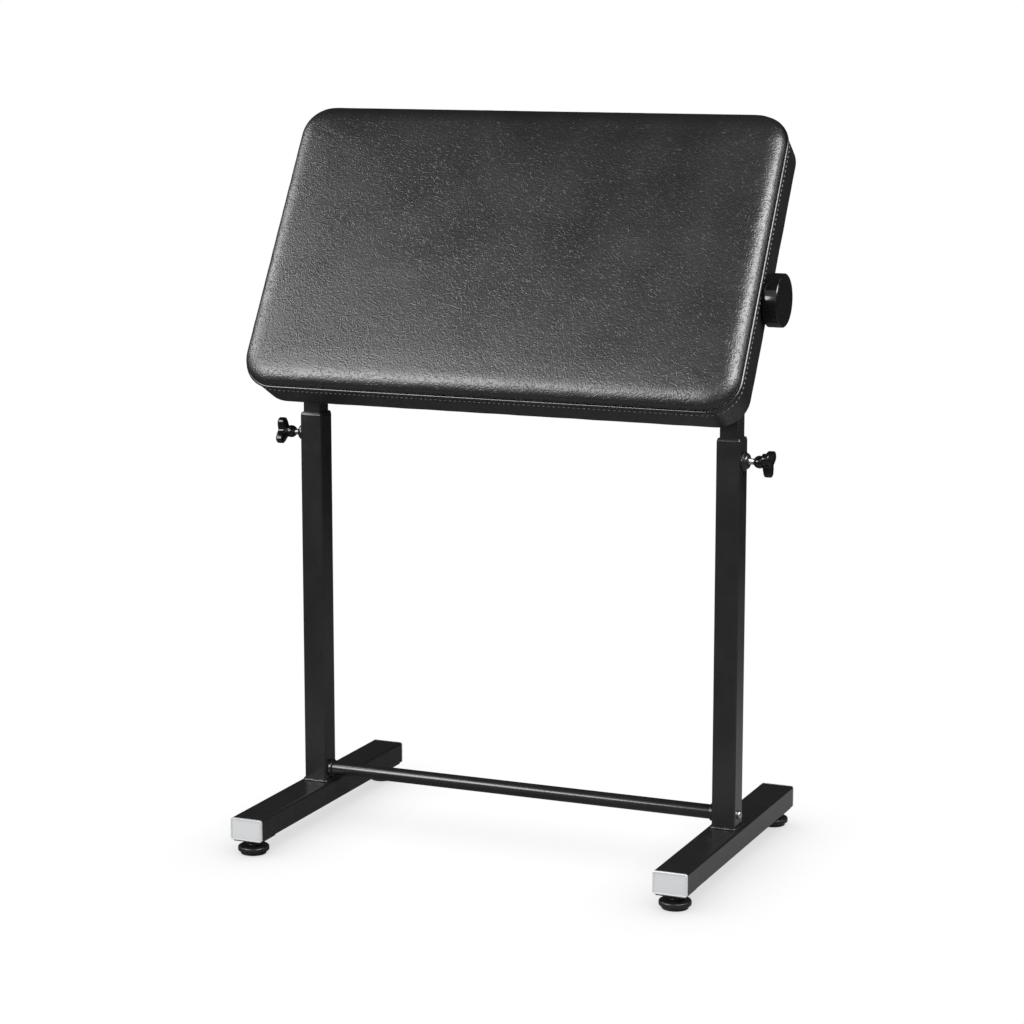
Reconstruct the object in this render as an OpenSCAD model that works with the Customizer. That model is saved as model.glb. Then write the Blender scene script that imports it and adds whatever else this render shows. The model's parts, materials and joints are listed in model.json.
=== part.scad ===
// Arm rest stand: a padded board that tilts on two telescopic posts.
// X runs from the left column to the right one, Y runs from the front to the back, and Z is up.
// The origin lies on the floor, halfway between the columns.

/* [Stand] */
// Distance from each end of the pad in to the centre of the column under it
column_inset = 43; // [42:1:90]
// Height of the top of the columns above the floor
column_top = 530; // [480:1:560]
// Height of the tilt axis above the floor
pivot_height = 696; // [670:1:760]
// Tilt of the pad from level
pad_tilt = 59; // [0:1:65]

/* [Legs] */
// Length of a leg from cap face to cap face
leg_length = 410; // [340:1:480]
// Width of the leg tube
leg_w = 43; // [38:1:50]
// Height of the leg tube
leg_h = 28; // [25:1:34]
// Wall of the leg tube
leg_wall = 1.5; // [1.2:0.1:2]
// Outer corner radius of the leg tube
leg_corner = 3; // [2.5:0.1:4]
// Height of the underside of the leg tube above the floor
leg_clearance = 20; // [19:0.5:26]
// Thickness of the flange of a leg cap
cap_flange = 3; // [2:0.1:5]
// Width of the raised rim round the face of a leg cap
cap_rim = 1.8; // [1:0.1:3]
// Depth of the face of a leg cap below its rim
cap_recess = 0.7; // [0.3:0.1:1.2]
// Length of the plug of a leg cap inside the tube
cap_plug = 7; // [4:0.5:8]
// Wall of the plug of a leg cap
cap_wall = 2; // [1.5:0.1:3]

/* [Levelling feet] */
// Distance from a leg's end to the centre of its foot
foot_inset = 20; // [19:0.5:30]
// Widest diameter of a foot
foot_d = 39; // [34:0.5:42]
// Diameter of the rubber sole
sole_d = 32; // [26:0.5:33]
// Thickness of the rubber sole
sole_h = 2.5; // [1.5:0.1:3.5]
// Height of the foot's disc above the floor
foot_disc_top = 11; // [9:0.1:12]
// Height of the foot's neck above the floor
foot_neck_top = 14; // [13:0.1:14.5]
// Diameter of the foot's neck
foot_neck_d = 17; // [14:0.5:20]
// Rounding of the foot's upper edge
foot_edge = 2; // [1:0.1:3]
// Thread diameter of a foot's stud
foot_stud_d = 10; // [8:0.5:12]
// Height of the stud's upper end above the floor
foot_stud_top = 41; // [36:0.5:42]
// Height of the stud's buried end above the floor
foot_stud_foot = 5; // [4:0.1:8]
// Length of the plate under each end of a leg
foot_plate_l = 40; // [30:1:60]
// Thickness of that plate
foot_plate_t = 2; // [1.5:0.1:3]
// Thickness of the welded nut inside the leg
foot_nut_h = 8; // [5:0.5:10]
// Width across the flats of that nut
foot_nut_af = 17; // [16:0.5:20]

/* [Columns] */
// Outside width of the square column tube
column_w = 30; // [29:0.5:40]
// Wall of the column tube
column_wall = 1.5; // [1.2:0.1:2]
// Outer corner radius of the column tube
column_corner = 2.5; // [2.2:0.1:4]
// Leg of the weld bead at the foot of a column
weld_size = 3.2; // [2:0.1:5]
// Height of the bush's band on top of a column
bush_band = 4.5; // [3:0.1:8]
// Length of the bush's skirt inside a column
bush_skirt = 17; // [10:0.5:18]
// Bevel along the upper edge of the bush's band
bush_bevel = 1.5; // [0.4:0.1:2]
// Distance from the top of a column down to its clamp screw
clamp_drop = 28; // [28:0.5:40]
// Diameter of the small drain hole in each column
drain_d = 4; // [2:0.5:6]
// Distance from the clamp screw down to the drain hole
drain_drop = 14.5; // [14:0.5:40]

/* [Cross bar] */
// Diameter of the cross bar
bar_d = 18; // [14:0.5:22]
// Wall of the cross bar
bar_wall = 2; // [1.5:0.1:3]
// Height of the cross bar's axis above the legs
bar_rise = 16; // [12:0.5:60]
// Diameter of the collar at each end of the bar
collar_d = 22; // [20:0.5:26]
// Length of that collar
collar_l = 5; // [3:0.5:12]
// Length of the threaded plug in each end of the bar
bar_plug_l = 28; // [20:1:40]
// Thread diameter of the bar's screws
bar_screw_d = 6; // [5:0.5:8]
// Head diameter of the bar's screws
bar_head_d = 10.5; // [9:0.1:14]
// Head height of the bar's screws
bar_head_h = 3.3; // [2:0.1:5]
// Width across the flats of the key socket in those heads
bar_key_af = 4; // [3:0.1:5]
// Depth of that key socket
bar_key_depth = 2; // [1:0.1:2.2]
// Length of screw thread inside the bar
bar_screw_grip = 18; // [10:1:25]

/* [Clamp knobs] */
// Thread diameter of a clamp screw
clamp_d = 8; // [6:0.5:9]
// Diameter of the boss on the column, at its foot
boss_d = 24; // [20:0.5:28]
// Diameter of the boss at its nose
boss_nose_d = 13; // [11:0.5:16]
// Length of the boss
boss_l = 7.5; // [6:0.5:12]
// Height of the straight rim of the boss
boss_rim = 2.5; // [1:0.1:4]
// Distance from the column's face to the outer face of the knob
knob_reach = 36; // [32:0.5:46]
// Thickness of the knob's lobed head
knob_head_l = 12; // [8:0.5:16]
// Radius of the knob over its lobes
knob_r = 18; // [15:0.5:24]
// Radius of the knob in its valleys
knob_valley_r = 8.2; // [7:0.1:10]
// Number of lobes
knob_lobes = 3; // [3:1:6]
// Diameter of the ball between knob head and screw
knob_ball_d = 15.5; // [12:0.5:18]
// Diameter of the flat where the screw enters the ball
knob_ball_flat_d = 10; // [9.2:0.1:12]
// Bevel of the knob's edges
knob_bevel = 1.4; // [0.5:0.1:2]

/* [Posts] */
// Outside width of the square post tube
post_w = 24; // [22:0.5:24.5]
// Wall of the post tube
post_wall = 1.5; // [1.2:0.1:2]
// Outer corner radius of the post tube
post_corner = 2; // [1.8:0.1:3]
// Height of the lower end of the posts above the floor
post_bottom = 250; // [200:1:300]
// Length of the glide below each post
glide_l = 6; // [4:0.5:12]
// Length of the glide's plug inside the post
glide_plug = 16; // [10:1:30]

/* [Tilt joint] */
// Thread diameter of the tilt stud and the pivot bolt
pivot_d = 10; // [8:0.5:10.5]
// Radius of the lug round the tilt axis
lug_r = 10; // [9.5:0.1:10.2]
// Height of the tilt axis above the head's shoulder
lug_rise = 12; // [12:0.5:20]
// Thickness of the head's shoulder
shoulder_t = 3; // [2:0.5:6]
// Length of the head's plug inside the post
head_plug = 26; // [15:1:40]
// Outer diameter of the nylon sleeve in the lug
sleeve_d = 14; // [13:0.1:15]
// Thickness of the friction washers
friction_t = 1.5; // [1:0.1:3]
// Diameter of the friction washers
friction_d = 20; // [17:0.5:20.4]
// Thickness of a bracket's steel
bracket_t = 4; // [3:0.5:5]
// Width of a bracket along the pad
bracket_w = 46; // [40:1:80]
// Length of a bracket's flange under the pad
bracket_flange = 44; // [36:1:70]
// Radius of a bracket's ear round the tilt axis
ear_r = 13; // [11:0.5:16]
// Width across the flats of the pivot nuts
pivot_nut_af = 17; // [15:0.5:17.5]
// Thickness of the pivot nuts
pivot_nut_h = 8; // [5:0.5:10]
// Head diameter of the pivot bolt
pivot_head_d = 17; // [14:0.5:18]
// Head height of the pivot bolt
pivot_head_h = 5; // [3:0.5:8]
// Diameter of the flat washer under the pivot bolt's head
pivot_washer_d = 20; // [17:0.5:20.4]
// Thickness of that washer
pivot_washer_t = 2; // [1:0.5:3]

/* [Tilt knob] */
// Diameter of the tilt knob
tilt_knob_d = 64; // [50:1:80]
// Thickness of the tilt knob's disc
tilt_knob_t = 19; // [12:0.5:30]
// Diameter of the tilt knob's hub
tilt_hub_d = 18; // [14:0.5:18.5]
// Bevel of the tilt knob's edges
tilt_knob_bevel = 1.5; // [0.5:0.1:3]
// Thickness of the knob's face over the stud's end
tilt_knob_face = 6; // [4:0.5:8]

/* [Pad] */
// Width of the pad along its seam
pad_w = 642; // [620:1:720]
// Depth of the pad along its seam
pad_d = 385; // [320:1:440]
// Corner radius of the pad along its seam
pad_corner = 40; // [38:1:60]
// Height of the pad's sides, from their lower edge to the seam
side_h = 54.5; // [48:0.5:60]
// Distance from the tilt axis to the cloth under the pad's board
pad_lift = 10.7; // [10.5:0.1:20]
// Distance from the tilt axis to the middle of the pad, up its slope
pad_shift = 29; // [0:1:40]
// Width of the roll round the pad's top
roll_w = 32; // [24:1:36]
// Height of the roll round the pad's top
roll_h = 17.5; // [15:0.5:30]
// Squareness of the roll: 2 is a quarter ellipse, and more is squarer
roll_power = 2.5; // [2:0.1:3]
// Height of the crown above the roll
crown_h = 4; // [1:0.5:10]
// Thickness of the leather
leather_t = 1.2; // [0.8:0.1:1.4]
// Draw of the pad's sides between seam and underside
side_draw = 2.2; // [1:0.1:3]
// Diameter of the piping
piping_d = 4.4; // [3:0.1:6]
// How far the piping stands proud of the seam line
piping_proud = 1.5; // [0.5:0.1:2]
// Width of the leather turned under the rim, from the pad's edge
hem_w = 18; // [15:0.5:18.5]
// Thickness of the board
board_t = 15; // [12:0.5:16]
// Height of the rim under the edge of the board
rim_h = 27; // [20:0.5:28]
// Thickness of the rim
rim_t = 18; // [15:0.5:18]
// Thickness of the backing cloth
cloth_t = 0.8; // [0.5:0.1:1]

/* [Board screws] */
// Thread diameter of the bracket screws
board_screw_d = 6; // [5:0.5:8]
// Head diameter of the bracket screws
board_head_d = 12; // [10:0.5:14]
// Head height of the bracket screws
board_head_h = 3.5; // [2:0.1:5]
// Diameter of the tee nut's flange
tee_flange_d = 19; // [16:0.5:24]
// Thickness of the tee nut's flange
tee_flange_t = 1.4; // [1:0.1:2]
// Diameter of the tee nut's barrel
tee_barrel_d = 8.4; // [7:0.1:10]
// Length of the tee nut's barrel
tee_barrel_l = 9; // [6:0.5:9.5]
// Length of a staple's crown
staple_l = 10; // [6:0.5:12]
// Thickness of a staple's wire
staple_t = 0.7; // [0.5:0.1:1]
// Spacing of the staples
staple_pitch = 48; // [30:1:80]

/* [Hidden] */
$fn = 48;

// Sides and ends: the left side and the front end are negative
left = -1;
right = 1;
front = -1;
rear = 1;

// Colours
powder_black = "#17181a";
nylon_black = "#1d1d1f";
gloss_black = "#0f0f10";
rubber_black = "#141414";
silver_grey = "#b9bbbd";
zinc = "#9a9da1";
leather_black = "#1b1b1c";
plywood = "#b98f5e";
foam_cream = "#d9cfae";
cloth_black = "#222224";

// Clearances
over = 1;           // overrun of every cut
thread_gap = 0.05;  // a thread or a shaft in its bore, on the radius
press_gap = 0.02;   // a sleeve in its seat, on the radius
slide_gap = 0.25;   // a post in its bush, on each side
glide_gap = 0.4;    // a glide in its column, on each side
seat_gap = 0.05;    // a fixed plug or skirt in its tube, on each side
face_gap = 0.3;     // parts that move past each other
hole_gap = 0.5;     // a screw through a plain hole, on the radius
foam_gap = 0.3;     // foam and rim inside their leather, and foam round the board
knob_gap = 0.8;     // the tilt knob beside the pad
hub_gap = 1.5;      // the tilt knob's hub in the pad's side, on the radius

// Shares
side_round_share = 0.12;  // rounding of the pad's lower edge, of the height of its sides
foam_draw_share = 0.1;    // height over which the foam widens below the seam, of the same
screw_out_share = 0.66;   // bracket screws out from the ear, of the flange's length
screw_side_share = 0.33;  // bracket screws out from the middle, of the bracket's width
staple_share = 0.75;      // staples of the hem in from the pad's edge, of the hem's width
bar_dome_share = 0.7;     // outer end of a bar screw's head, of its diameter
board_dome_share = 0.7;   // lower end of a bracket screw's head, of its diameter
bolt_dome_share = 0.8;    // outer end of the pivot bolt's head, of its diameter
cap_edge_share = 0.33;    // bevel of a leg cap's edge, of its rim's width
least_corner_share = 0.25; // least corner of the rings on the pad's top, of the pad's corner

// Places that follow from the sizes above
column_x = pad_w / 2 - column_inset;
leg_top = leg_clearance + leg_h;
leg_mid = leg_clearance + leg_h / 2;
leg_tube_l = leg_length - 2 * cap_flange;
foot_y = leg_length / 2 - foot_inset;
plate_y = leg_tube_l / 2 - foot_plate_l / 2;
column_tube_top = column_top - bush_band;
clamp_z = column_top - clamp_drop;
drain_z = clamp_z - drain_drop;
bar_z = leg_top + bar_rise;
bar_l = 2 * column_x - column_w;
post_top = pivot_height - lug_rise - shoulder_t;
column_bore = column_w - 2 * column_wall;
post_bore = post_w - 2 * post_wall;
bush_bore = post_w + 2 * slide_gap;

// Along the tilt axis, outwards from a column's centre plane
lug_face = post_w / 2;
ear_out = lug_face + friction_t + face_gap;
ear_in = ear_out + bracket_t;
bolt_end = ear_in + face_gap + pivot_nut_h + face_gap;

// Heights above the tilt axis, square to the pad
cloth_n = pad_lift;
board_n = cloth_n + cloth_t;
board_top_n = board_n + board_t;
rim_n = board_n - rim_h;
hem_n = rim_n - leather_t;
seam_n = hem_n + side_h;
piping_r = piping_d / 2;
piping_inset = piping_r - piping_proud;
side_in = side_draw + leather_t;
side_round = side_round_share * side_h;
board_inset = side_draw + side_round + foam_gap;
panel_n = seam_n + piping_r;
band_n = seam_n - piping_r;
screw_x = screw_out_share * bracket_flange;
screw_u = screw_side_share * bracket_w;
rim_inset = side_in + foam_gap;
rim_in = rim_inset + rim_t;
cloth_inset = rim_in + face_gap;

// Shape of the clamp knobs: points of their outline, how slim their lobes are, and
// the angle at which each one stands
lobed_steps = 96;
lobe_power = 1.35;
left_knob_turn = 75;
right_knob_turn = -90;

// Mesh steps of the soft forms
corner_steps = 8;
long_steps = 7;
short_steps = 4;
roll_steps = 5;
fill_steps = 5;

// Section of a tube or plug: a rectangle with round corners
module round_rect(w, d, r) {
    square([w - 2 * r, d], center = true);
    square([w, d - 2 * r], center = true);
    for (x = [-1, 1], y = [-1, 1])
        translate([x * (w / 2 - r), y * (d / 2 - r)])
            circle(r);
}

// Section of a rectangular tube
module tube_section(w, d, wall, r) {
    difference() {
        round_rect(w, d, r);
        round_rect(w - 2 * wall, d - 2 * wall, r - wall);
    }
}

// A shape turned so that its own Z axis points along X, away from the middle on that side
module along_x(side) {
    rotate([0, side * 90, 0])
        children();
}

// A hexagonal nut or head from its seat upwards, with a bore
module hex_nut(af, h, bore_r) {
    difference() {
        cylinder(d = af / cos(30), h = h, $fn = 6);
        translate([0, 0, -over])
            cylinder(r = bore_r, h = h + 2 * over);
    }
}

// The leg tubes, each drilled below for its two levelling feet
module leg(side) {
    color(powder_black)
        difference() {
            translate([side * column_x, 0, leg_mid])
                rotate([90, 0, 0])
                    linear_extrude(leg_tube_l, center = true)
                        tube_section(leg_w, leg_h, leg_wall, leg_corner);
            for (end = [front, rear])
                translate([side * column_x, end * foot_y, leg_clearance - over])
                    cylinder(r = foot_stud_d / 2 + hole_gap, h = leg_wall + 2 * over);
        }
}
module leg_left() { leg(left); }
module leg_right() { leg(right); }

// The cap of a leg's end: a flange with a raised rim, and a hollow plug
module leg_cap(side, end) {
    plug_w = leg_w - 2 * leg_wall - 2 * seat_gap;
    plug_h = leg_h - 2 * leg_wall - 2 * seat_gap;
    rim_edge = cap_edge_share * cap_rim;
    color(silver_grey)
        translate([side * column_x, end * leg_tube_l / 2, leg_mid])
            rotate([end * -90, 0, 0]) {
                difference() {
                    union() {
                        linear_extrude(cap_flange - rim_edge)
                            round_rect(leg_w, leg_h, leg_corner);
                        linear_extrude(cap_flange)
                            round_rect(leg_w - 2 * rim_edge, leg_h - 2 * rim_edge, leg_corner - rim_edge);
                    }
                    translate([0, 0, cap_flange - cap_recess])
                        linear_extrude(cap_recess + over)
                            round_rect(leg_w - 2 * cap_rim, leg_h - 2 * cap_rim, leg_corner - cap_rim);
                }
                translate([0, 0, -cap_plug])
                    linear_extrude(cap_plug)
                        difference() {
                            round_rect(plug_w, plug_h, leg_corner - leg_wall);
                            square([plug_w - 2 * cap_wall, plug_h - 2 * cap_wall], center = true);
                        }
            }
}
module leg_cap_front_left() { leg_cap(left, front); }
module leg_cap_front_right() { leg_cap(right, front); }
module leg_cap_rear_left() { leg_cap(left, rear); }
module leg_cap_rear_right() { leg_cap(right, rear); }

// The plates welded under the ends of the legs, where the feet screw in
module foot_plates() {
    color(powder_black)
        for (side = [left, right], end = [front, rear])
            difference() {
                translate([side * column_x, end * plate_y, leg_clearance - foot_plate_t / 2])
                    cube([leg_w - 2 * leg_corner, foot_plate_l, foot_plate_t], center = true);
                translate([side * column_x, end * foot_y, leg_clearance - foot_plate_t - over])
                    cylinder(r = foot_stud_d / 2 + hole_gap, h = foot_plate_t + 2 * over);
            }
}

// The nuts welded inside the legs, which take the feet's studs
module foot_nuts() {
    color(zinc)
        for (side = [left, right], end = [front, rear])
            translate([side * column_x, end * foot_y, leg_clearance + leg_wall])
                hex_nut(foot_nut_af, foot_nut_h, foot_stud_d / 2 + thread_gap);
}

// A levelling foot of black nylon, moulded round its stud
module foot(side, end) {
    disc_r = foot_d / 2;
    taper_top = sole_h + foot_edge;
    color(nylon_black)
        translate([side * column_x, end * foot_y, 0])
            difference() {
                rotate_extrude()
                    polygon([
                        [0, sole_h],
                        [sole_d / 2, sole_h],
                        [disc_r, taper_top],
                        [disc_r, foot_disc_top - foot_edge],
                        for (a = [15 : 15 : 90])
                            [disc_r - foot_edge * (1 - cos(a)), foot_disc_top - foot_edge * (1 - sin(a))],
                        [foot_neck_d / 2, foot_disc_top],
                        [foot_neck_d / 2, foot_neck_top],
                        [0, foot_neck_top]
                    ]);
                translate([0, 0, foot_stud_foot])
                    cylinder(r = foot_stud_d / 2 + press_gap, h = foot_neck_top);
            }
}
module foot_front_left() { foot(left, front); }
module foot_front_right() { foot(right, front); }
module foot_rear_left() { foot(left, rear); }
module foot_rear_right() { foot(right, rear); }

// The threaded stud of a levelling foot
module foot_stud(side, end) {
    color(zinc)
        translate([side * column_x, end * foot_y, foot_stud_foot])
            cylinder(d = foot_stud_d, h = foot_stud_top - foot_stud_foot);
}
module foot_stud_front_left() { foot_stud(left, front); }
module foot_stud_front_right() { foot_stud(right, front); }
module foot_stud_rear_left() { foot_stud(left, rear); }
module foot_stud_rear_right() { foot_stud(right, rear); }

// The rubber sole of a levelling foot
module foot_sole(side, end) {
    color(rubber_black)
        translate([side * column_x, end * foot_y, 0])
            cylinder(d = sole_d, h = sole_h);
}
module foot_sole_front_left() { foot_sole(left, front); }
module foot_sole_front_right() { foot_sole(right, front); }
module foot_sole_rear_left() { foot_sole(left, rear); }
module foot_sole_rear_right() { foot_sole(right, rear); }

// A column: a square tube with holes for the clamp screw, the bar's screw and drainage
module column(side) {
    outer_face = column_w / 2;
    color(powder_black)
        translate([side * column_x, 0, 0])
            difference() {
                translate([0, 0, leg_top])
                    linear_extrude(column_tube_top - leg_top)
                        tube_section(column_w, column_w, column_wall, column_corner);
                translate([side * (outer_face - column_wall - over), 0, clamp_z])
                    along_x(side)
                        cylinder(r = clamp_d / 2 + hole_gap, h = column_wall + 2 * over);
                translate([side * (outer_face - column_wall - over), 0, drain_z])
                    along_x(side)
                        cylinder(d = drain_d, h = column_wall + 2 * over);
                translate([0, 0, bar_z])
                    along_x(side)
                        cylinder(r = bar_screw_d / 2 + hole_gap, h = column_w + 2 * over, center = true);
            }
}
module column_left() { column(left); }
module column_right() { column(right); }

// The weld bead round the foot of a column, a fillet on each side of the tube
module weld(side) {
    run = column_w + 2 * weld_size;
    color(powder_black)
        translate([side * column_x, 0, leg_top])
            difference() {
                intersection_for (turn = [0, 90])
                    rotate([90, 0, turn])
                        linear_extrude(run, center = true)
                            polygon([
                                [-run / 2, 0],
                                [run / 2, 0],
                                [column_w / 2, weld_size],
                                [-column_w / 2, weld_size]
                            ]);
                translate([0, 0, -over])
                    linear_extrude(weld_size + 2 * over)
                        round_rect(column_w, column_w, column_corner);
            }
}
module welds() {
    weld(left);
    weld(right);
}

// The plastic bush that guides a post in the top of its column
module guide_bush(side) {
    skirt_w = column_bore - 2 * seat_gap;
    neck_w = column_w - 2 * bush_bevel;
    bore_corner = post_corner + slide_gap;
    color(nylon_black)
        translate([side * column_x, 0, column_tube_top])
            difference() {
                union() {
                    linear_extrude(bush_band - bush_bevel)
                        round_rect(column_w, column_w, column_corner);
                    linear_extrude(bush_band)
                        round_rect(neck_w, neck_w, column_corner - bush_bevel);
                    translate([0, 0, -bush_skirt])
                        linear_extrude(bush_skirt)
                            round_rect(skirt_w, skirt_w, column_corner - column_wall);
                }
                translate([0, 0, -bush_skirt - over])
                    linear_extrude(bush_skirt + bush_band + 2 * over)
                        round_rect(bush_bore, bush_bore, bore_corner);
            }
}
module guide_bush_left() { guide_bush(left); }
module guide_bush_right() { guide_bush(right); }

// The threaded boss on the outer face of a column
module clamp_boss(side) {
    color(powder_black)
        translate([side * (column_x + column_w / 2), 0, clamp_z])
            along_x(side)
                difference() {
                    rotate_extrude()
                        polygon([
                            [0, 0],
                            [boss_d / 2, 0],
                            [boss_d / 2, boss_rim],
                            [boss_nose_d / 2, boss_l],
                            [0, boss_l]
                        ]);
                    translate([0, 0, -over])
                        cylinder(r = clamp_d / 2 + thread_gap, h = boss_l + 2 * over);
                }
}
module clamp_boss_left() { clamp_boss(left); }
module clamp_boss_right() { clamp_boss(right); }

// The round bar that ties the two columns together
module cross_bar() {
    color(powder_black)
        translate([0, 0, bar_z])
            rotate([0, 90, 0])
                difference() {
                    cylinder(d = bar_d, h = bar_l, center = true);
                    cylinder(d = bar_d - 2 * bar_wall, h = bar_l + 2 * over, center = true);
                }
}

// The collars at the ends of the bar
module cross_bar_collars() {
    color(powder_black)
        for (side = [left, right])
            translate([side * (bar_l / 2 - collar_l), 0, bar_z])
                along_x(side)
                    difference() {
                        cylinder(d = collar_d, h = collar_l);
                        translate([0, 0, -over])
                            cylinder(r = bar_d / 2 + press_gap, h = collar_l + 2 * over);
                    }
}

// The threaded plugs in the ends of the bar
module cross_bar_plugs() {
    color(zinc)
        for (side = [left, right])
            translate([side * (bar_l / 2 - bar_plug_l), 0, bar_z])
                along_x(side)
                    difference() {
                        cylinder(r = bar_d / 2 - bar_wall - press_gap, h = bar_plug_l);
                        translate([0, 0, -over])
                            cylinder(r = bar_screw_d / 2 + thread_gap, h = bar_plug_l + 2 * over);
                    }
}

// The screws that hold the bar, through both walls of each column
module cross_bar_screws() {
    color(zinc)
        for (side = [left, right])
            translate([side * (column_x + column_w / 2), 0, bar_z])
                along_x(side) {
                    difference() {
                        cylinder(d1 = bar_head_d, d2 = bar_dome_share * bar_head_d, h = bar_head_h);
                        translate([0, 0, bar_head_h - bar_key_depth])
                            cylinder(d = bar_key_af / cos(30), h = bar_key_depth + over, $fn = 6);
                    }
                    translate([0, 0, -column_w - bar_screw_grip])
                        cylinder(d = bar_screw_d, h = column_w + bar_screw_grip);
                }
}

// Outline of the lobed knob: its radius swells and shrinks with the angle
function lobed_outline(outer_r, valley_r) = [
    for (i = [0 : lobed_steps - 1])
        let (a = i * 360 / lobed_steps, swell = pow((1 + cos(knob_lobes * a)) / 2, lobe_power))
            (valley_r + (outer_r - valley_r) * swell) * [cos(a), sin(a)]
];

// A clamp knob of glossy plastic: a lobed head on a ball, turned by an angle about its axis
module clamp_knob(side, turn) {
    screw_hole_r = clamp_d / 2 + press_gap;
    head_foot = knob_reach - knob_head_l;
    ball_r = knob_ball_d / 2;
    ball_foot = sqrt(pow(ball_r, 2) - pow(knob_ball_flat_d / 2, 2));
    color(gloss_black)
        translate([side * (column_x + column_w / 2), 0, clamp_z])
            along_x(side)
                difference() {
                    union() {
                        rotate([0, 0, turn]) {
                            translate([0, 0, head_foot])
                                linear_extrude(knob_head_l)
                                    polygon(lobed_outline(knob_r - knob_bevel, knob_valley_r - knob_bevel));
                            translate([0, 0, head_foot + knob_bevel])
                                linear_extrude(knob_head_l - 2 * knob_bevel)
                                    polygon(lobed_outline(knob_r, knob_valley_r));
                        }
                        intersection() {
                            translate([0, 0, head_foot - ball_r / 2])
                                sphere(ball_r);
                            translate([0, 0, head_foot - ball_r / 2 - ball_foot])
                                cylinder(r = ball_r, h = ball_foot + ball_r);
                        }
                    }
                    translate([0, 0, head_foot - 2 * ball_r])
                        cylinder(r = screw_hole_r, h = 2 * ball_r + knob_head_l / 2);
                }
}
module clamp_knob_left() { clamp_knob(left, left_knob_turn); }
module clamp_knob_right() { clamp_knob(right, right_knob_turn); }

// The clamp screw, from the post's face to the middle of the knob's head
module clamp_screw(side) {
    tip = post_w / 2 + face_gap;
    color(zinc)
        translate([side * (column_x + tip), 0, clamp_z])
            along_x(side)
                cylinder(d = clamp_d, h = column_w / 2 + knob_reach - knob_head_l / 2 - tip);
}
module clamp_screw_left() { clamp_screw(left); }
module clamp_screw_right() { clamp_screw(right); }

// A post, which slides in its column
module post(side) {
    color(powder_black)
        translate([side * column_x, 0, post_bottom])
            linear_extrude(post_top - post_bottom)
                tube_section(post_w, post_w, post_wall, post_corner);
}
module post_left() { post(left); }
module post_right() { post(right); }

// The nylon glides in the lower ends of the posts
module post_glides() {
    glide_w = column_bore - 2 * glide_gap;
    plug_w = post_bore - 2 * seat_gap;
    color(nylon_black)
        for (side = [left, right])
            translate([side * column_x, 0, post_bottom]) {
                translate([0, 0, -glide_l])
                    linear_extrude(glide_l)
                        round_rect(glide_w, glide_w, post_corner);
                linear_extrude(glide_plug)
                    round_rect(plug_w, plug_w, post_corner - post_wall);
            }
}

// The head on top of a post: a plug, a shoulder and a round lug with the tilt bore
module pivot_head(side) {
    plug_w = post_bore - 2 * seat_gap;
    shoulder_z = pivot_height - lug_rise;
    color(powder_black)
        translate([side * column_x, 0, 0])
            difference() {
                union() {
                    translate([0, 0, post_top - head_plug])
                        linear_extrude(head_plug)
                            round_rect(plug_w, plug_w, post_corner - post_wall);
                    translate([0, 0, post_top])
                        linear_extrude(shoulder_t)
                            round_rect(post_w, post_w, post_corner);
                    translate([-lug_face, -lug_r, shoulder_z])
                        cube([post_w, 2 * lug_r, lug_rise]);
                    translate([0, 0, pivot_height])
                        along_x(side)
                            cylinder(r = lug_r, h = post_w, center = true);
                }
                translate([0, 0, pivot_height])
                    along_x(side)
                        cylinder(r = sleeve_d / 2 + press_gap, h = post_w + 2 * over, center = true);
            }
}
module pivot_head_left() { pivot_head(left); }
module pivot_head_right() { pivot_head(right); }

// The nylon sleeves in the lugs
module pivot_sleeves() {
    color(nylon_black)
        for (side = [left, right])
            translate([side * column_x, 0, pivot_height])
                along_x(side)
                    difference() {
                        cylinder(d = sleeve_d, h = post_w, center = true);
                        cylinder(r = pivot_d / 2 + thread_gap, h = post_w + 2 * over, center = true);
                    }
}

// A flat ring on the tilt axis, from a distance inwards of a column's centre plane
module axis_ring(side, from, t, outer_r, bore_r) {
    translate([side * (column_x - from), 0, pivot_height])
        along_x(-side)
            difference() {
                cylinder(r = outer_r, h = t);
                translate([0, 0, -over])
                    cylinder(r = bore_r, h = t + 2 * over);
            }
}

// The friction washers between the lugs and the brackets
module friction_washers() {
    color(nylon_black)
        for (side = [left, right])
            axis_ring(side, lug_face, friction_t, friction_d / 2, pivot_d / 2 + thread_gap);
}

// The bolt on the left, which the pad turns on
module pivot_bolt() {
    seat = lug_face + pivot_washer_t;
    color(zinc)
        translate([left * (column_x + seat), 0, pivot_height]) {
            along_x(left)
                cylinder(d1 = pivot_head_d, d2 = bolt_dome_share * pivot_head_d, h = pivot_head_h);
            along_x(right)
                cylinder(d = pivot_d, h = seat + bolt_end);
        }
}

// The flat washer under the head of that bolt
module pivot_washer() {
    outer_face = lug_face + pivot_washer_t;
    color(zinc)
        axis_ring(left, -outer_face, pivot_washer_t, pivot_washer_d / 2, pivot_d / 2 + thread_gap);
}

// The lock nut on that bolt
module pivot_nut() {
    color(zinc)
        translate([left * (column_x - ear_in - face_gap), 0, pivot_height])
            along_x(right)
                hex_nut(pivot_nut_af, pivot_nut_h, pivot_d / 2 + thread_gap);
}

// Everything on the pad is placed in its own frame: the tilt axis is its X axis,
// Y runs up the pad's slope and Z is square to the pad
module on_pad() {
    translate([0, 0, pivot_height])
        rotate([pad_tilt, 0, 0])
            children();
}

// The nut welded to the right bracket, which takes the tilt stud
module tilt_nut() {
    color(zinc)
        on_pad()
            translate([column_x - ear_in, 0, 0])
                along_x(left)
                    hex_nut(pivot_nut_af, pivot_nut_h, pivot_d / 2 + thread_gap);
}

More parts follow.
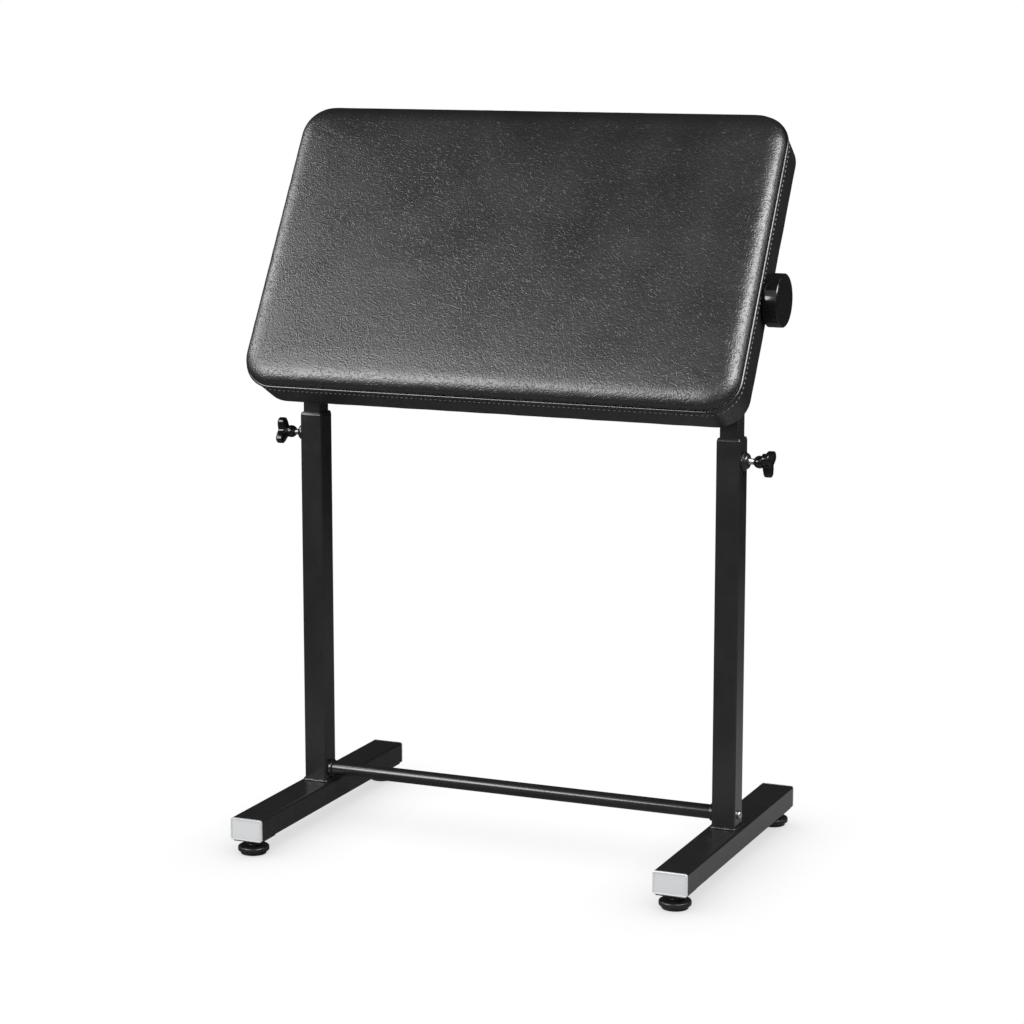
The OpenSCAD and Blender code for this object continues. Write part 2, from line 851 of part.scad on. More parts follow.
// A bracket of bent steel: an ear beside the lug and a flange under the pad
module bracket(side) {
    notch_w = pivot_nut_af / cos(30) + 2 * hole_gap;
    notch_l = pivot_nut_h + bracket_t;
    flange_n = pad_lift - bracket_t;
    color(powder_black)
        on_pad()
            translate([side * (column_x - ear_in), 0, 0])
                difference() {
                    union() {
                        rotate([90, 0, 90])
                            translate([0, 0, side > 0 ? 0 : -bracket_t])
                                linear_extrude(bracket_t) {
                                    intersection() {
                                        circle(ear_r);
                                        translate([-ear_r, -ear_r])
                                            square([2 * ear_r, ear_r + pad_lift]);
                                    }
                                    polygon([
                                        [-ear_r, 0],
                                        [ear_r, 0],
                                        [bracket_w / 2, flange_n],
                                        [bracket_w / 2, pad_lift],
                                        [-bracket_w / 2, pad_lift],
                                        [-bracket_w / 2, flange_n]
                                    ]);
                                }
                        translate([-side * bracket_flange / 2, 0, pad_lift - bracket_t / 2])
                            cube([bracket_flange, bracket_w, bracket_t], center = true);
                    }
                    translate([-side * notch_l / 2, 0, pad_lift - bracket_t / 2])
                        cube([notch_l, notch_w, bracket_t + 2 * over], center = true);
                    along_x(side)
                        cylinder(r = pivot_d / 2 + thread_gap, h = 2 * bracket_t + 2 * over, center = true);
                    for (u = [-screw_u, screw_u])
                        translate([-side * screw_x, u, flange_n - over])
                            cylinder(r = board_screw_d / 2 + hole_gap, h = bracket_t + 2 * over);
                }
}
module bracket_left() { bracket(left); }
module bracket_right() { bracket(right); }

// The places of the four screws that hold the brackets to the board
module at_board_screws() {
    on_pad()
        for (side = [left, right], u = [-screw_u, screw_u])
            translate([side * (column_x - ear_in - screw_x), u, 0])
                children();
}

// The screws through the brackets, with domed heads below
module bracket_screws() {
    color(zinc)
        at_board_screws() {
            translate([0, 0, pad_lift - bracket_t - board_head_h])
                cylinder(d1 = board_dome_share * board_head_d, d2 = board_head_d, h = board_head_h);
            translate([0, 0, pad_lift - bracket_t])
                cylinder(d = board_screw_d, h = board_top_n - pad_lift + bracket_t);
        }
}

// The tee nuts let into the top of the board
module tee_nuts() {
    color(zinc)
        at_board_screws()
            difference() {
                union() {
                    translate([0, 0, board_top_n - tee_flange_t])
                        cylinder(d = tee_flange_d, h = tee_flange_t);
                    translate([0, 0, board_top_n - tee_flange_t - tee_barrel_l])
                        cylinder(d = tee_barrel_d, h = tee_barrel_l);
                }
                translate([0, 0, board_n])
                    cylinder(r = board_screw_d / 2 + thread_gap, h = board_t + over);
            }
}

// Outline of the pad, drawn in by an inset
module pad_outline(inset) {
    round_rect(pad_w - 2 * inset, pad_d - 2 * inset, pad_corner - inset);
}

// The board of the pad, drilled for the screws and their tee nuts
module pad_board() {
    color(plywood)
        difference() {
            on_pad()
                translate([0, pad_shift, board_n])
                    linear_extrude(board_t)
                        pad_outline(board_inset);
            at_board_screws() {
                translate([0, 0, board_n - over])
                    cylinder(r = board_screw_d / 2 + hole_gap, h = board_t + 2 * over);
                translate([0, 0, board_top_n - tee_flange_t - tee_barrel_l - press_gap])
                    cylinder(r = tee_barrel_d / 2 + press_gap, h = board_t);
                translate([0, 0, board_top_n - tee_flange_t - press_gap])
                    cylinder(r = tee_flange_d / 2 + press_gap, h = board_t);
            }
        }
}

// The bore through the pad's right side for the hub of the tilt knob
module hub_bore() {
    on_pad()
        translate([pad_w / 2 - rim_in - over, 0, 0])
            along_x(right)
                cylinder(r = tilt_hub_d / 2 + hub_gap, h = rim_in + 2 * over);
}

// The plywood rim under the edge of the board, with a step for the leather's rounded edge
module pad_rim() {
    color(plywood)
        difference() {
            on_pad()
                translate([0, pad_shift, rim_n])
                    difference() {
                        union() {
                            linear_extrude(rim_h)
                                pad_outline(board_inset);
                            translate([0, 0, side_round])
                                linear_extrude(rim_h - side_round)
                                    pad_outline(rim_inset);
                        }
                        translate([0, 0, -over])
                            linear_extrude(rim_h + 2 * over)
                                pad_outline(rim_in);
                    }
            hub_bore();
        }
}

// The cloth that covers the board inside the rim, clear of the bracket screws
module pad_back_cloth() {
    color(cloth_black)
        difference() {
            on_pad()
                translate([0, pad_shift, cloth_n])
                    linear_extrude(cloth_t)
                        pad_outline(cloth_inset);
            at_board_screws()
                translate([0, 0, cloth_n - over])
                    cylinder(r = board_screw_d / 2 + hole_gap, h = cloth_t + 2 * over);
        }
}

// A row of staples round the pad, at an inset from its edge and with its crowns on a level
module staple_row(inset, level) {
    half_w = pad_w / 2 - inset;
    half_d = pad_d / 2 - inset;
    run_w = pad_w / 2 - pad_corner;
    run_d = pad_d / 2 - pad_corner;
    count_w = floor(2 * run_w / staple_pitch);
    count_d = floor(2 * run_d / staple_pitch);
    translate([0, pad_shift, level - staple_t / 2]) {
        for (v = [-half_d, half_d], i = [0 : count_w])
            translate([-run_w + i * 2 * run_w / count_w, v, 0])
                cube([staple_l, staple_t, staple_t], center = true);
        for (v = [-half_w, half_w], i = [0 : count_d])
            translate([v, -run_d + i * 2 * run_d / count_d, 0])
                cube([staple_t, staple_l, staple_t], center = true);
    }
}

// The staples that hold the leather's hem to the rim, and the cloth to the board
module back_staples() {
    color(zinc)
        on_pad() {
            staple_row(staple_share * hem_w, hem_n);
            staple_row(cloth_inset + staple_l / 2, cloth_n);
        }
}

// A run of points from one to another, without the last one
function straight(a, b, steps) = [for (i = [0 : steps - 1]) a + (b - a) * i / steps];

// A quarter turn about a point, from corner number c on, without its last point
function quarter(mid, r, c) = [
    for (i = [0 : corner_steps - 1])
        let (a = 90 * (c + i / corner_steps))
            mid + r * [cos(a), sin(a)]
];

// One ring of the soft forms: a rounded rectangle drawn in by an inset, with
// as many points at every inset, so that rings can be joined point to point
function pad_ring(inset) =
    let (
        hw = pad_w / 2 - inset,
        hd = pad_d / 2 - inset,
        r = max(pad_corner - inset, least_corner_share * pad_corner),
        mids = [[hw - r, hd - r], [r - hw, hd - r], [r - hw, r - hd], [hw - r, r - hd]]
    )
    [
        for (c = [0 : 3])
            let (
                turned = r * [cos(90 * (c + 1)), sin(90 * (c + 1))],
                steps = c % 2 == 0 ? long_steps : short_steps
            )
            each concat(
                quarter(mids[c], r, c),
                straight(mids[c] + turned, mids[(c + 1) % 4] + turned, steps)
            )
    ];

// Height of the pad's top above its rim: a quarter superellipse over the roll, then a low dome
function top_height(p, inset, thin) =
    let (
        s = 1 - min(inset, roll_w) / roll_w,
        dome = (1 - pow(2 * p[0] / pad_w, 2)) * (1 - pow(2 * p[1] / pad_d, 2))
    )
    (roll_h - thin) * pow(1 - pow(s, roll_power), 1 / roll_power) + crown_h * dome;

// The rings over the pad's top, from its rim inwards: those of the roll, then shrunk copies
function roll_ring(step, thin, rim_n) =
    let (
        reach = 1 - pow(cos(90 * step / roll_steps), 2 / roll_power),
        inset = thin + (roll_w - thin) * reach
    )
    [for (p = pad_ring(inset)) [p[0], p[1], rim_n + top_height(p, roll_w * reach, thin)]];
function fill_ring(step, thin, rim_n) =
    let (k = 1 - step / fill_steps)
    [for (p = pad_ring(roll_w)) let (q = k * p) [q[0], q[1], rim_n + top_height(q, roll_w, thin)]];
function top_rings(thin, rim_n) = concat(
    [for (i = [0 : roll_steps]) roll_ring(i, thin, rim_n)],
    [for (i = [1 : fill_steps - 1]) fill_ring(i, thin, rim_n)]
);
function flat_ring(inset, n) = [for (p = pad_ring(inset)) [p[0], p[1], n]];
function flipped(rings) = [for (i = [len(rings) - 1 : -1 : 0]) rings[i]];

// A closed solid through a list of rings. Its ends are closed by a fan to a pole, or
// the last ring is joined to the first.
module ring_solid(rings, first_pole = undef, last_pole = undef) {
    m = len(rings);
    n = len(rings[0]);
    closed = first_pole == undef;
    points = concat([for (ring = rings) each ring], closed ? [] : [first_pole, last_pole]);
    walls = [
        for (j = [0 : closed ? m - 1 : m - 2], i = [0 : n - 1])
            let (
                next_i = (i + 1) % n,
                next_j = (j + 1) % m,
                a = j * n + i,
                b = j * n + next_i,
                c = next_j * n + i,
                d = next_j * n + next_i
            )
            each [[a, c, b], [b, c, d]]
    ];
    fans = closed ? [] : [
        for (i = [0 : n - 1])
            each [[m * n, i, (i + 1) % n], [m * n + 1, (m - 1) * n + (i + 1) % n, (m - 1) * n + i]]
    ];
    polyhedron(points = points, faces = concat(walls, fans), convexity = 6);
}

// The crowned leather of the pad's top
module pad_top_panel() {
    outer = top_rings(0, panel_n);
    inner = top_rings(leather_t, panel_n);
    color(leather_black)
        on_pad()
            translate([0, pad_shift, 0])
                ring_solid(
                    concat(flipped(outer), inner),
                    [0, 0, panel_n + roll_h + crown_h],
                    [0, 0, panel_n + roll_h - leather_t + crown_h]
                );
}

// The foam, which fills the leather above the board and wraps round the board's edge
module pad_foam() {
    thin = leather_t + foam_gap;
    seam_inset = piping_inset + piping_r + foam_gap;
    top = top_rings(thin, panel_n);
    color(foam_cream)
        on_pad()
            translate([0, pad_shift, 0])
                ring_solid(
                    concat(
                        flipped(top),
                        [
                            flat_ring(seam_inset, panel_n),
                            flat_ring(seam_inset, band_n),
                            flat_ring(rim_inset, band_n - foam_draw_share * side_h),
                            flat_ring(rim_inset, board_n),
                            flat_ring(board_inset - foam_gap, board_n),
                            flat_ring(board_inset - foam_gap, board_top_n)
                        ]
                    ),
                    [0, 0, panel_n + roll_h - thin + crown_h],
                    [0, 0, board_top_n]
                );
}

// The leather band round the pad's sides: drawn in below the seam, rounded at its
// lower edge, turned under the rim and holed for the hub of the tilt knob
module pad_side_band() {
    rise = band_n - hem_n - side_round;
    profile_steps = 5;
    outer = [
        for (i = [0 : profile_steps])
            [side_draw * sin(90 * i / profile_steps), band_n - rise * i / profile_steps]
    ];
    turn = [
        for (a = [22.5 : 22.5 : 90])
            [side_draw + side_round * (1 - cos(a)), hem_n + side_round * (1 - sin(a))]
    ];
    inner_turn = [
        for (a = [90, 45])
            [
                side_draw + side_round - (side_round - leather_t) * cos(a),
                hem_n + side_round - (side_round - leather_t) * sin(a)
            ]
    ];
    inner = [
        for (i = [profile_steps : -1 : 0])
            [leather_t + side_draw * sin(90 * i / profile_steps), band_n - rise * i / profile_steps]
    ];
    profile = concat(outer, turn, [[hem_w, hem_n], [hem_w, rim_n]], inner_turn, inner);
    color(leather_black)
        difference() {
            on_pad()
                translate([0, pad_shift, 0])
                    ring_solid([for (p = profile) flat_ring(p[0], p[1])]);
            hub_bore();
        }
}

// The piping sewn into the seam
module pad_piping() {
    run_w = pad_w - 2 * pad_corner;
    run_d = pad_d - 2 * pad_corner;
    bend_r = pad_corner - piping_inset;
    color(leather_black)
        on_pad()
            translate([0, pad_shift, seam_n]) {
                for (x = [-1, 1]) {
                    translate([x * (pad_w / 2 - piping_inset), 0, 0])
                        rotate([90, 0, 0])
                            cylinder(r = piping_r, h = run_d, center = true);
                    translate([0, x * (pad_d / 2 - piping_inset), 0])
                        rotate([0, 90, 0])
                            cylinder(r = piping_r, h = run_w, center = true);
                }
                for (c = [0 : 3])
                    translate([(c == 0 || c == 3 ? 1 : -1) * run_w / 2, (c < 2 ? 1 : -1) * run_d / 2, 0])
                        rotate([0, 0, 90 * c])
                            rotate_extrude(angle = 90)
                                translate([bend_r, 0])
                                    circle(piping_r);
            }
}

// The tilt knob: a plain disc against the pad's side, on a hub that reaches the lug
module tilt_knob() {
    disc_r = tilt_knob_d / 2;
    hub_r = tilt_hub_d / 2;
    hub_l = pad_w / 2 + knob_gap - column_x - lug_face - face_gap;
    b = tilt_knob_bevel;
    stud_depth = hub_l + tilt_knob_t - tilt_knob_face;
    color(gloss_black)
        on_pad()
            translate([column_x + lug_face + face_gap, 0, 0])
                along_x(right)
                    difference() {
                        rotate_extrude()
                            polygon([
                                [0, 0],
                                [hub_r, 0],
                                [hub_r, hub_l],
                                [disc_r - b, hub_l],
                                [disc_r, hub_l + b],
                                [disc_r, hub_l + tilt_knob_t - b],
                                [disc_r - b, hub_l + tilt_knob_t],
                                [0, hub_l + tilt_knob_t]
                            ]);
                        translate([0, 0, -over])
                            cylinder(r = pivot_d / 2 + press_gap, h = stud_depth + over);
                    }
}

// The tilt stud, from the welded nut to the knob
module tilt_stud() {
    inner_end = ear_in + pivot_nut_h + face_gap;
    outer_end = pad_w / 2 + knob_gap - column_x + tilt_knob_t - tilt_knob_face;
    color(zinc)
        on_pad()
            translate([column_x - inner_end, 0, 0])
                along_x(right)
                    cylinder(d = pivot_d, h = inner_end + outer_end);
}

leg_left();
leg_right();
column_left();
column_right();
welds();
leg_cap_front_left();
leg_cap_front_right();
leg_cap_rear_left();
leg_cap_rear_right();
foot_plates();
foot_nuts();
guide_bush_left();
guide_bush_right();
clamp_boss_left();
clamp_boss_right();
cross_bar();
cross_bar_collars();
cross_bar_plugs();
cross_bar_screws();
foot_front_left();
foot_front_right();
foot_rear_left();
foot_rear_right();
foot_stud_front_left();
foot_stud_front_right();
foot_stud_rear_left();
foot_stud_rear_right();
foot_sole_front_left();
foot_sole_front_right();
foot_sole_rear_left();
foot_sole_rear_right();
clamp_knob_left();
clamp_knob_right();
clamp_screw_left();
clamp_screw_right();
post_left();
post_right();
post_glides();
pivot_head_left();
pivot_head_right();
pivot_sleeves();
friction_washers();
pivot_bolt();
pivot_nut();
pivot_washer();
pad_board();
pad_rim();
pad_foam();
pad_top_panel();
pad_side_band();
pad_piping();
pad_back_cloth();
back_staples();
bracket_left();
bracket_right();
bracket_screws();
tee_nuts();
tilt_nut();
tilt_knob();
tilt_stud();
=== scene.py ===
"""Dresses an arm rest stand in leather, powder coat, plastic and steel, on a plain studio floor."""

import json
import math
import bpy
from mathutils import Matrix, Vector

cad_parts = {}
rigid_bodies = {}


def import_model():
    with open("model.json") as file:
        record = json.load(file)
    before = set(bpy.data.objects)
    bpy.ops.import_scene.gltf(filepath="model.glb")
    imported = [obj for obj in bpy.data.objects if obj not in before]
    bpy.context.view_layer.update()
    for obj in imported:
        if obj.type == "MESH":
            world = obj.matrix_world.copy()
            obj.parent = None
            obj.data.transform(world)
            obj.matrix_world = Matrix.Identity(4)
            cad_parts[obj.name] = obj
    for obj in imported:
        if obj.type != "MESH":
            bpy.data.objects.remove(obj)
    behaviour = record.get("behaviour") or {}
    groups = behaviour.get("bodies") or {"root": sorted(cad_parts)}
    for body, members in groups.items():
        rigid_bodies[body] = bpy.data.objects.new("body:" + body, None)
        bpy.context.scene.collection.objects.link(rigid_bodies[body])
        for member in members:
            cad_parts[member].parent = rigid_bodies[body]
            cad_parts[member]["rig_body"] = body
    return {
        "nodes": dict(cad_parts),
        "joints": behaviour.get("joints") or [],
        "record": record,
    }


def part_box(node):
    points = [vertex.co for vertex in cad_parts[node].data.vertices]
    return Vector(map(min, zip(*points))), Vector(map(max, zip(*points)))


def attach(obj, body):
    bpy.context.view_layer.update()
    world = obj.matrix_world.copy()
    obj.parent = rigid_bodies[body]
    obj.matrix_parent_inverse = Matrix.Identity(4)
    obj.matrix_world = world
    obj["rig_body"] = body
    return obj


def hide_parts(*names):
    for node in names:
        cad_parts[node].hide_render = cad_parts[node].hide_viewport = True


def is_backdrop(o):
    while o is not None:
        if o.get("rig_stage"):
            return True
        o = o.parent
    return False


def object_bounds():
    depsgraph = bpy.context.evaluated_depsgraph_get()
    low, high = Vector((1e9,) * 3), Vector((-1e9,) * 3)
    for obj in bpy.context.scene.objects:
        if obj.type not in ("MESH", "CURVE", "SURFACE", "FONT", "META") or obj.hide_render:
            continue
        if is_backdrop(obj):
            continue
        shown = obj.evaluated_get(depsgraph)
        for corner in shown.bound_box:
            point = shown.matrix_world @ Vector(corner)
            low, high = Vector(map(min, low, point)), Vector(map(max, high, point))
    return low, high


bl_info = {
    "name": "Arm rest stand",
    "version": (1, 0, 0),
    "blender": (4, 5, 0),
    "location": "3D View > Sidebar > Arm Rest",
    "description": "Builds the visible pieces and finishes of a tilting arm rest stand",
    "category": "Object",
}

from types import SimpleNamespace

import bmesh
import bpy
import numpy as np
from bpy.props import FloatProperty, FloatVectorProperty, IntProperty, PointerProperty
from mathutils import Vector

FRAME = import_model()
CAD_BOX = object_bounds()
NODES = FRAME["nodes"]
JOINTS = {joint["name"]: joint for joint in FRAME["joints"]}
SIDES = {"left": -1.0, "right": 1.0}
ENDS = ("front", "rear")
MM = 0.001
WELD_DISTANCE = 0.001 * MM
STAPLE_PITCH = 48 * MM
# Whether the rows and the columns of a grid of points close on themselves
SHEET, TUBE, RING = (False, False), (False, True), (True, True)


def node_size(node):
    """Width, depth and height of a node."""
    low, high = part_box(node)
    return high - low


def node_middle(node):
    """Middle of a node's box."""
    low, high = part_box(node)
    return (low + high) / 2


def length_of(name, description, default):
    """A size in metres, with its name and what it is."""
    return FloatProperty(name=name, description=description, default=default, unit="LENGTH", precision=4)


def colour_of(name, description, default):
    """A colour in linear red, green and blue."""
    return FloatVectorProperty(
        name=name, description=description, default=default, subtype="COLOR", size=3, min=0.0, max=1.0
    )


class ArmRestPadSizes(bpy.types.PropertyGroup):
    """Sizes of the upholstered pad"""

    width: length_of("Width", "Width of the pad along its seam", node_size("pad_side_band").x)
    depth: length_of("Depth", "Depth of the pad along its seam", 385 * MM)
    corner: length_of("Corner", "Corner radius of the pad along its seam", 40 * MM)
    side_height: length_of("Side height", "From the pad's lower edge to its seam", 54.5 * MM)
    underside: length_of("Underside", "From the tilt axis to the cloth under the board", 10.7 * MM)
    shift: length_of("Shift", "From the tilt axis up the slope to the pad's middle", 29 * MM)
    roll_width: length_of("Roll width", "Width of the roll round the pad's top", 32 * MM)
    roll_height: length_of("Roll height", "Height of the roll round the pad's top", 17.5 * MM)
    roll_power: FloatProperty(name="Roll power", description="Squareness of the roll", default=2.5, min=1.0)
    crown: length_of("Crown", "Height of the crown above the roll", 4 * MM)
    leather: length_of("Leather", "Thickness of the leather", 1.2 * MM)
    side_draw: length_of("Side draw", "Draw of the sides between seam and underside", 2.2 * MM)
    side_round: length_of("Side rounding", "Rounding of the lower edge", 6.54 * MM)
    rim_height: length_of("Rim height", "Height of the rim under the board's edge", 27 * MM)
    rim_width: length_of("Rim width", "Thickness of the rim", 18 * MM)
    hem_width: length_of("Hem", "Leather turned under the rim", 18 * MM)
    piping: length_of("Piping", "Diameter of the piping", 4.4 * MM)
    piping_inset: length_of("Piping inset", "From the seam line in to the piping's middle", 0.7 * MM)
    cloth: length_of("Cloth", "Thickness of the backing cloth", 0.8 * MM)
    board: length_of("Board", "Thickness of the board", 15 * MM)
    stitch_pitch: length_of("Stitch pitch", "Spacing of the stitches below the seam", 6.4 * MM)
    stitch_drop: length_of("Stitch drop", "From the seam down to the stitches", 10.5 * MM)
    swell: length_of("Swell", "Most that pressure may move a point of the cover", 0.8 * MM)
    pressure: FloatProperty(name="Pressure", description="Pressure under the cover", default=0.4, min=0.0)
    tilt: FloatProperty(
        name="Tilt", description="Tilt of the pad from level", default=math.radians(59), subtype="ANGLE"
    )


class ArmRestStandSizes(bpy.types.PropertyGroup):
    """Sizes of the stand's turned and moulded pieces"""

    column_wall: length_of("Column wall", "Wall of the column tube", 1.5 * MM)
    column_corner: length_of("Column corner", "Corner radius of the column tube", 2.5 * MM)
    edge: length_of("Edge", "Softening of the metal's cut edges", 0.35 * MM)
    weld: length_of("Weld", "Leg of the weld bead at the foot of a column", 3.2 * MM)
    thread: length_of("Thread", "Depth of the screw threads", 0.6 * MM)
    clamp_d: length_of("Clamp screw", "Thread diameter of a clamp screw", 8 * MM)
    stud_d: length_of("Stud", "Thread diameter of the feet's studs and the tilt stud", 10 * MM)
    hub_d: length_of("Hub", "Diameter of the tilt knob's hub", 18 * MM)
    knob_gap: length_of("Knob gap", "From the pad's side to the tilt knob's disc", 0.8 * MM)
    knob_valley: length_of("Knob valley", "Radius of a clamp knob in its valleys", 8.2 * MM)
    knob_lobe: length_of("Knob lobe", "Radius of a clamp knob over its lobes", 18 * MM)
    knob_ball: length_of("Knob ball", "Diameter of the ball behind the knob's head", 15.5 * MM)
    knob_head: length_of("Knob head", "Thickness of the knob's lobed head", 12 * MM)
    bar_wall: length_of("Bar wall", "Wall of the cross bar", 2 * MM)
    lobes: IntProperty(name="Lobes", description="Lobes of a clamp knob", default=3, min=3, max=6)


class ArmRestFinishes(bpy.types.PropertyGroup):
    """Colours of the finishes"""

    leather: colour_of("Leather", "Colour of the leather", (0.004, 0.004, 0.0042))
    powder: colour_of("Powder coat", "Colour of the powder coat", (0.0065, 0.0065, 0.0067))
    gloss: colour_of("Glossy plastic", "Colour of the knobs", (0.003, 0.003, 0.0032))
    nylon: colour_of("Nylon", "Colour of the feet and bushes", (0.006, 0.006, 0.0063))
    silver: colour_of("Silver", "Colour of the leg caps", (0.36, 0.365, 0.37))
    zinc: colour_of("Zinc", "Colour of the plated steel", (0.52, 0.53, 0.55))
    plywood: colour_of("Plywood", "Colour of the board", (0.48, 0.32, 0.17))
    foam: colour_of("Foam", "Colour of the foam", (0.72, 0.66, 0.5))


def pad_sizes():
    return bpy.context.scene.armrest_pad


def stand_sizes():
    return bpy.context.scene.armrest_stand


def finish_colour(name):
    """A finish's colour with full alpha."""
    return (*getattr(bpy.context.scene.armrest_finishes, name), 1.0)


# Meshes


def grid_faces(shape, close_rows, close_columns, first):
    """Quads between neighbouring points of a grid, as rows of four point numbers. A closed
    direction also joins its last line of points to its first."""
    rows, columns = shape
    numbers = first + np.arange(rows * columns).reshape(rows, columns)
    if close_rows:
        numbers = np.vstack([numbers, numbers[:1]])
    if close_columns:
        numbers = np.hstack([numbers, numbers[:, :1]])
    corners = (numbers[:-1, :-1], numbers[1:, :-1], numbers[1:, 1:], numbers[:-1, 1:])
    return np.stack(corners, axis=-1).reshape(-1, 4)


def clean(mesh, flat_angle=0.0):
    """Merges points that meet, joins faces that lie within an angle of flat, and turns all
    faces outwards."""
    bm = bmesh.new()
    bm.from_mesh(mesh)
    bmesh.ops.remove_doubles(bm, verts=bm.verts, dist=WELD_DISTANCE)
    if flat_angle:
        bmesh.ops.dissolve_limit(bm, angle_limit=flat_angle, verts=bm.verts, edges=bm.edges)
    bmesh.ops.recalc_face_normals(bm, faces=bm.faces)
    bm.to_mesh(mesh)
    bm.free()


def mesh_from_grids(name, grids, closed=TUBE):
    """A mesh from grids of points that are closed alike. Rows that meet in one point are merged
    there, and the faces are turned outwards."""
    points, faces, first = [], [], 0
    for grid in grids:
        points.append(grid.reshape(-1, 3))
        faces.append(grid_faces(grid.shape[:2], *closed, first))
        first += len(points[-1])
    mesh = bpy.data.meshes.new(name)
    mesh.from_pydata(np.concatenate(points).tolist(), [], np.concatenate(faces).tolist())
    clean(mesh)
    mesh.shade_smooth()
    return mesh


def new_object(name, data):
    """An object for a mesh, a lamp or a camera, linked to the scene."""
    obj = bpy.data.objects.new(name, data)
    bpy.context.scene.collection.objects.link(obj)
    return obj


SLOT_OF_NODE = {
    part["node"]: part["material_slot"] for part in FRAME["record"]["subparts"] if "material_slot" in part
}


def place_piece(mesh, node, replaces=True):
    """An object for a finished mesh, with the body and the material slot of a node. It stands
    for that node, or else is an extra piece beside it."""
    obj = new_object(mesh.name, mesh)
    slot = SLOT_OF_NODE[node]
    mesh.materials.append(material_for(slot))
    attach(obj, NODES[node]["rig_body"])
    if replaces:
        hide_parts(node)
    return obj


def piece_for(node, grids, suffix, sharp=None, closed=TUBE):
    """A new piece that stands for a node, made from grids. Edges that turn by more than sharp
    degrees stay crisp."""
    mesh = mesh_from_grids(f"{node}_{suffix}", grids, closed)
    if sharp is not None:
        mesh.set_sharp_from_angle(angle=math.radians(sharp))
    return place_piece(mesh, node)


def dressed(node, edge):
    """Makes a copy of a node with its triangles joined into flat faces and its edges softened."""
    crisp, flat = math.radians(32), math.radians(0.5)
    mesh = NODES[node].data.copy()
    mesh.name = f"{node}_dressed"
    clean(mesh, flat)
    mesh.materials.clear()
    if mesh.has_custom_normals:
        mesh.attributes.remove(mesh.attributes["custom_normal"])
    mesh.shade_smooth()
    mesh.set_sharp_from_angle(angle=crisp)
    obj = place_piece(mesh, node)
    bevel = obj.modifiers.new("Soft edges", "BEVEL")
    bevel.width, bevel.segments, bevel.harden_normals = edge, 2, False
    bevel.limit_method, bevel.angle_limit = "ANGLE", crisp
    weighted = obj.modifiers.new("Flat faces", "WEIGHTED_NORMAL")
    weighted.keep_sharp, weighted.weight = False, 80


def drill(obj, cutter_grid):
    """Takes the solid of a turned grid of points out of a closed piece."""
    cutter = new_object("cutter", mesh_from_grids("cutter", [cutter_grid]))
    bore = obj.modifiers.new("Bore", "BOOLEAN")
    bore.operation, bore.solver, bore.object = "DIFFERENCE", "EXACT", cutter
    whole, name = obj.data, obj.data.name
    obj.data = bpy.data.meshes.new_from_object(obj.evaluated_get(bpy.context.evaluated_depsgraph_get()))
    obj.modifiers.clear()
    bpy.data.meshes.remove(whole)
    obj.data.name = name
    bpy.data.meshes.remove(cutter.data)


def finish_node(node):
    """Gives a node that stays as it is its slot's material."""
    materials = NODES[node].data.materials
    materials.clear()
    materials.append(material_for(SLOT_OF_NODE[node]))


# Shapes, each a function of two parameters on a grid


def rounded_profile(points, radii, steps=4):
    """A profile with round corners. Each corner becomes a quadratic curve between points that
    lie the corner's radius before and after it, or almost half the edge where that is less."""
    points = np.asarray(points, float)
    radii = np.broadcast_to(np.asarray(radii, float), len(points)).copy()
    radii[[0, -1]] = 0.0
    before = np.vstack([points[:1], points[:-1]]) - points
    after = np.vstack([points[1:], points[-1:]]) - points
    length_before = np.maximum(np.linalg.norm(before, axis=1), 1e-12)
    length_after = np.maximum(np.linalg.norm(after, axis=1), 1e-12)
    start = points + before * (np.minimum(radii, 0.48 * length_before) / length_before)[:, None]
    end = points + after * (np.minimum(radii, 0.48 * length_after) / length_after)[:, None]
    t = np.linspace(0, 1, steps + 1)[None, :, None]
    curves = (1 - t) ** 2 * start[:, None] + 2 * t * (1 - t) * points[:, None] + t**2 * end[:, None]
    return curves.reshape(-1, 2)


def axes_along(direction):
    """Three unit axes as rows, the last one along the direction."""
    third = np.asarray(direction, float)
    third = third / np.linalg.norm(third)
    helper = np.array([0.0, 0.0, 1.0]) if abs(third[2]) < 0.9 else np.array([0.0, 1.0, 0.0])
    first = np.cross(helper, third)
    first /= np.linalg.norm(first)
    return np.array([first, np.cross(third, first), third])


def turned(radius, height, angles, origin, direction):
    """Points turned about an axis: radius and height may vary over rows and angles, and a point
    is origin + radius (cos, sin) across the axis + height along it."""
    angles = np.asarray(angles)[None, :]
    across = np.stack(np.broadcast_arrays(radius * np.cos(angles), radius * np.sin(angles), height), axis=-1)
    return np.asarray(origin, float) + across @ axes_along(direction)


def lathe(profile, origin, direction, segments=64):
    """A profile of (radius, height) turned about an axis through the origin."""
    profile = np.asarray(profile, float)
    angles = np.linspace(0, 2 * np.pi, segments, endpoint=False)
    return turned(profile[:, :1], profile[:, 1:], angles, origin, direction)


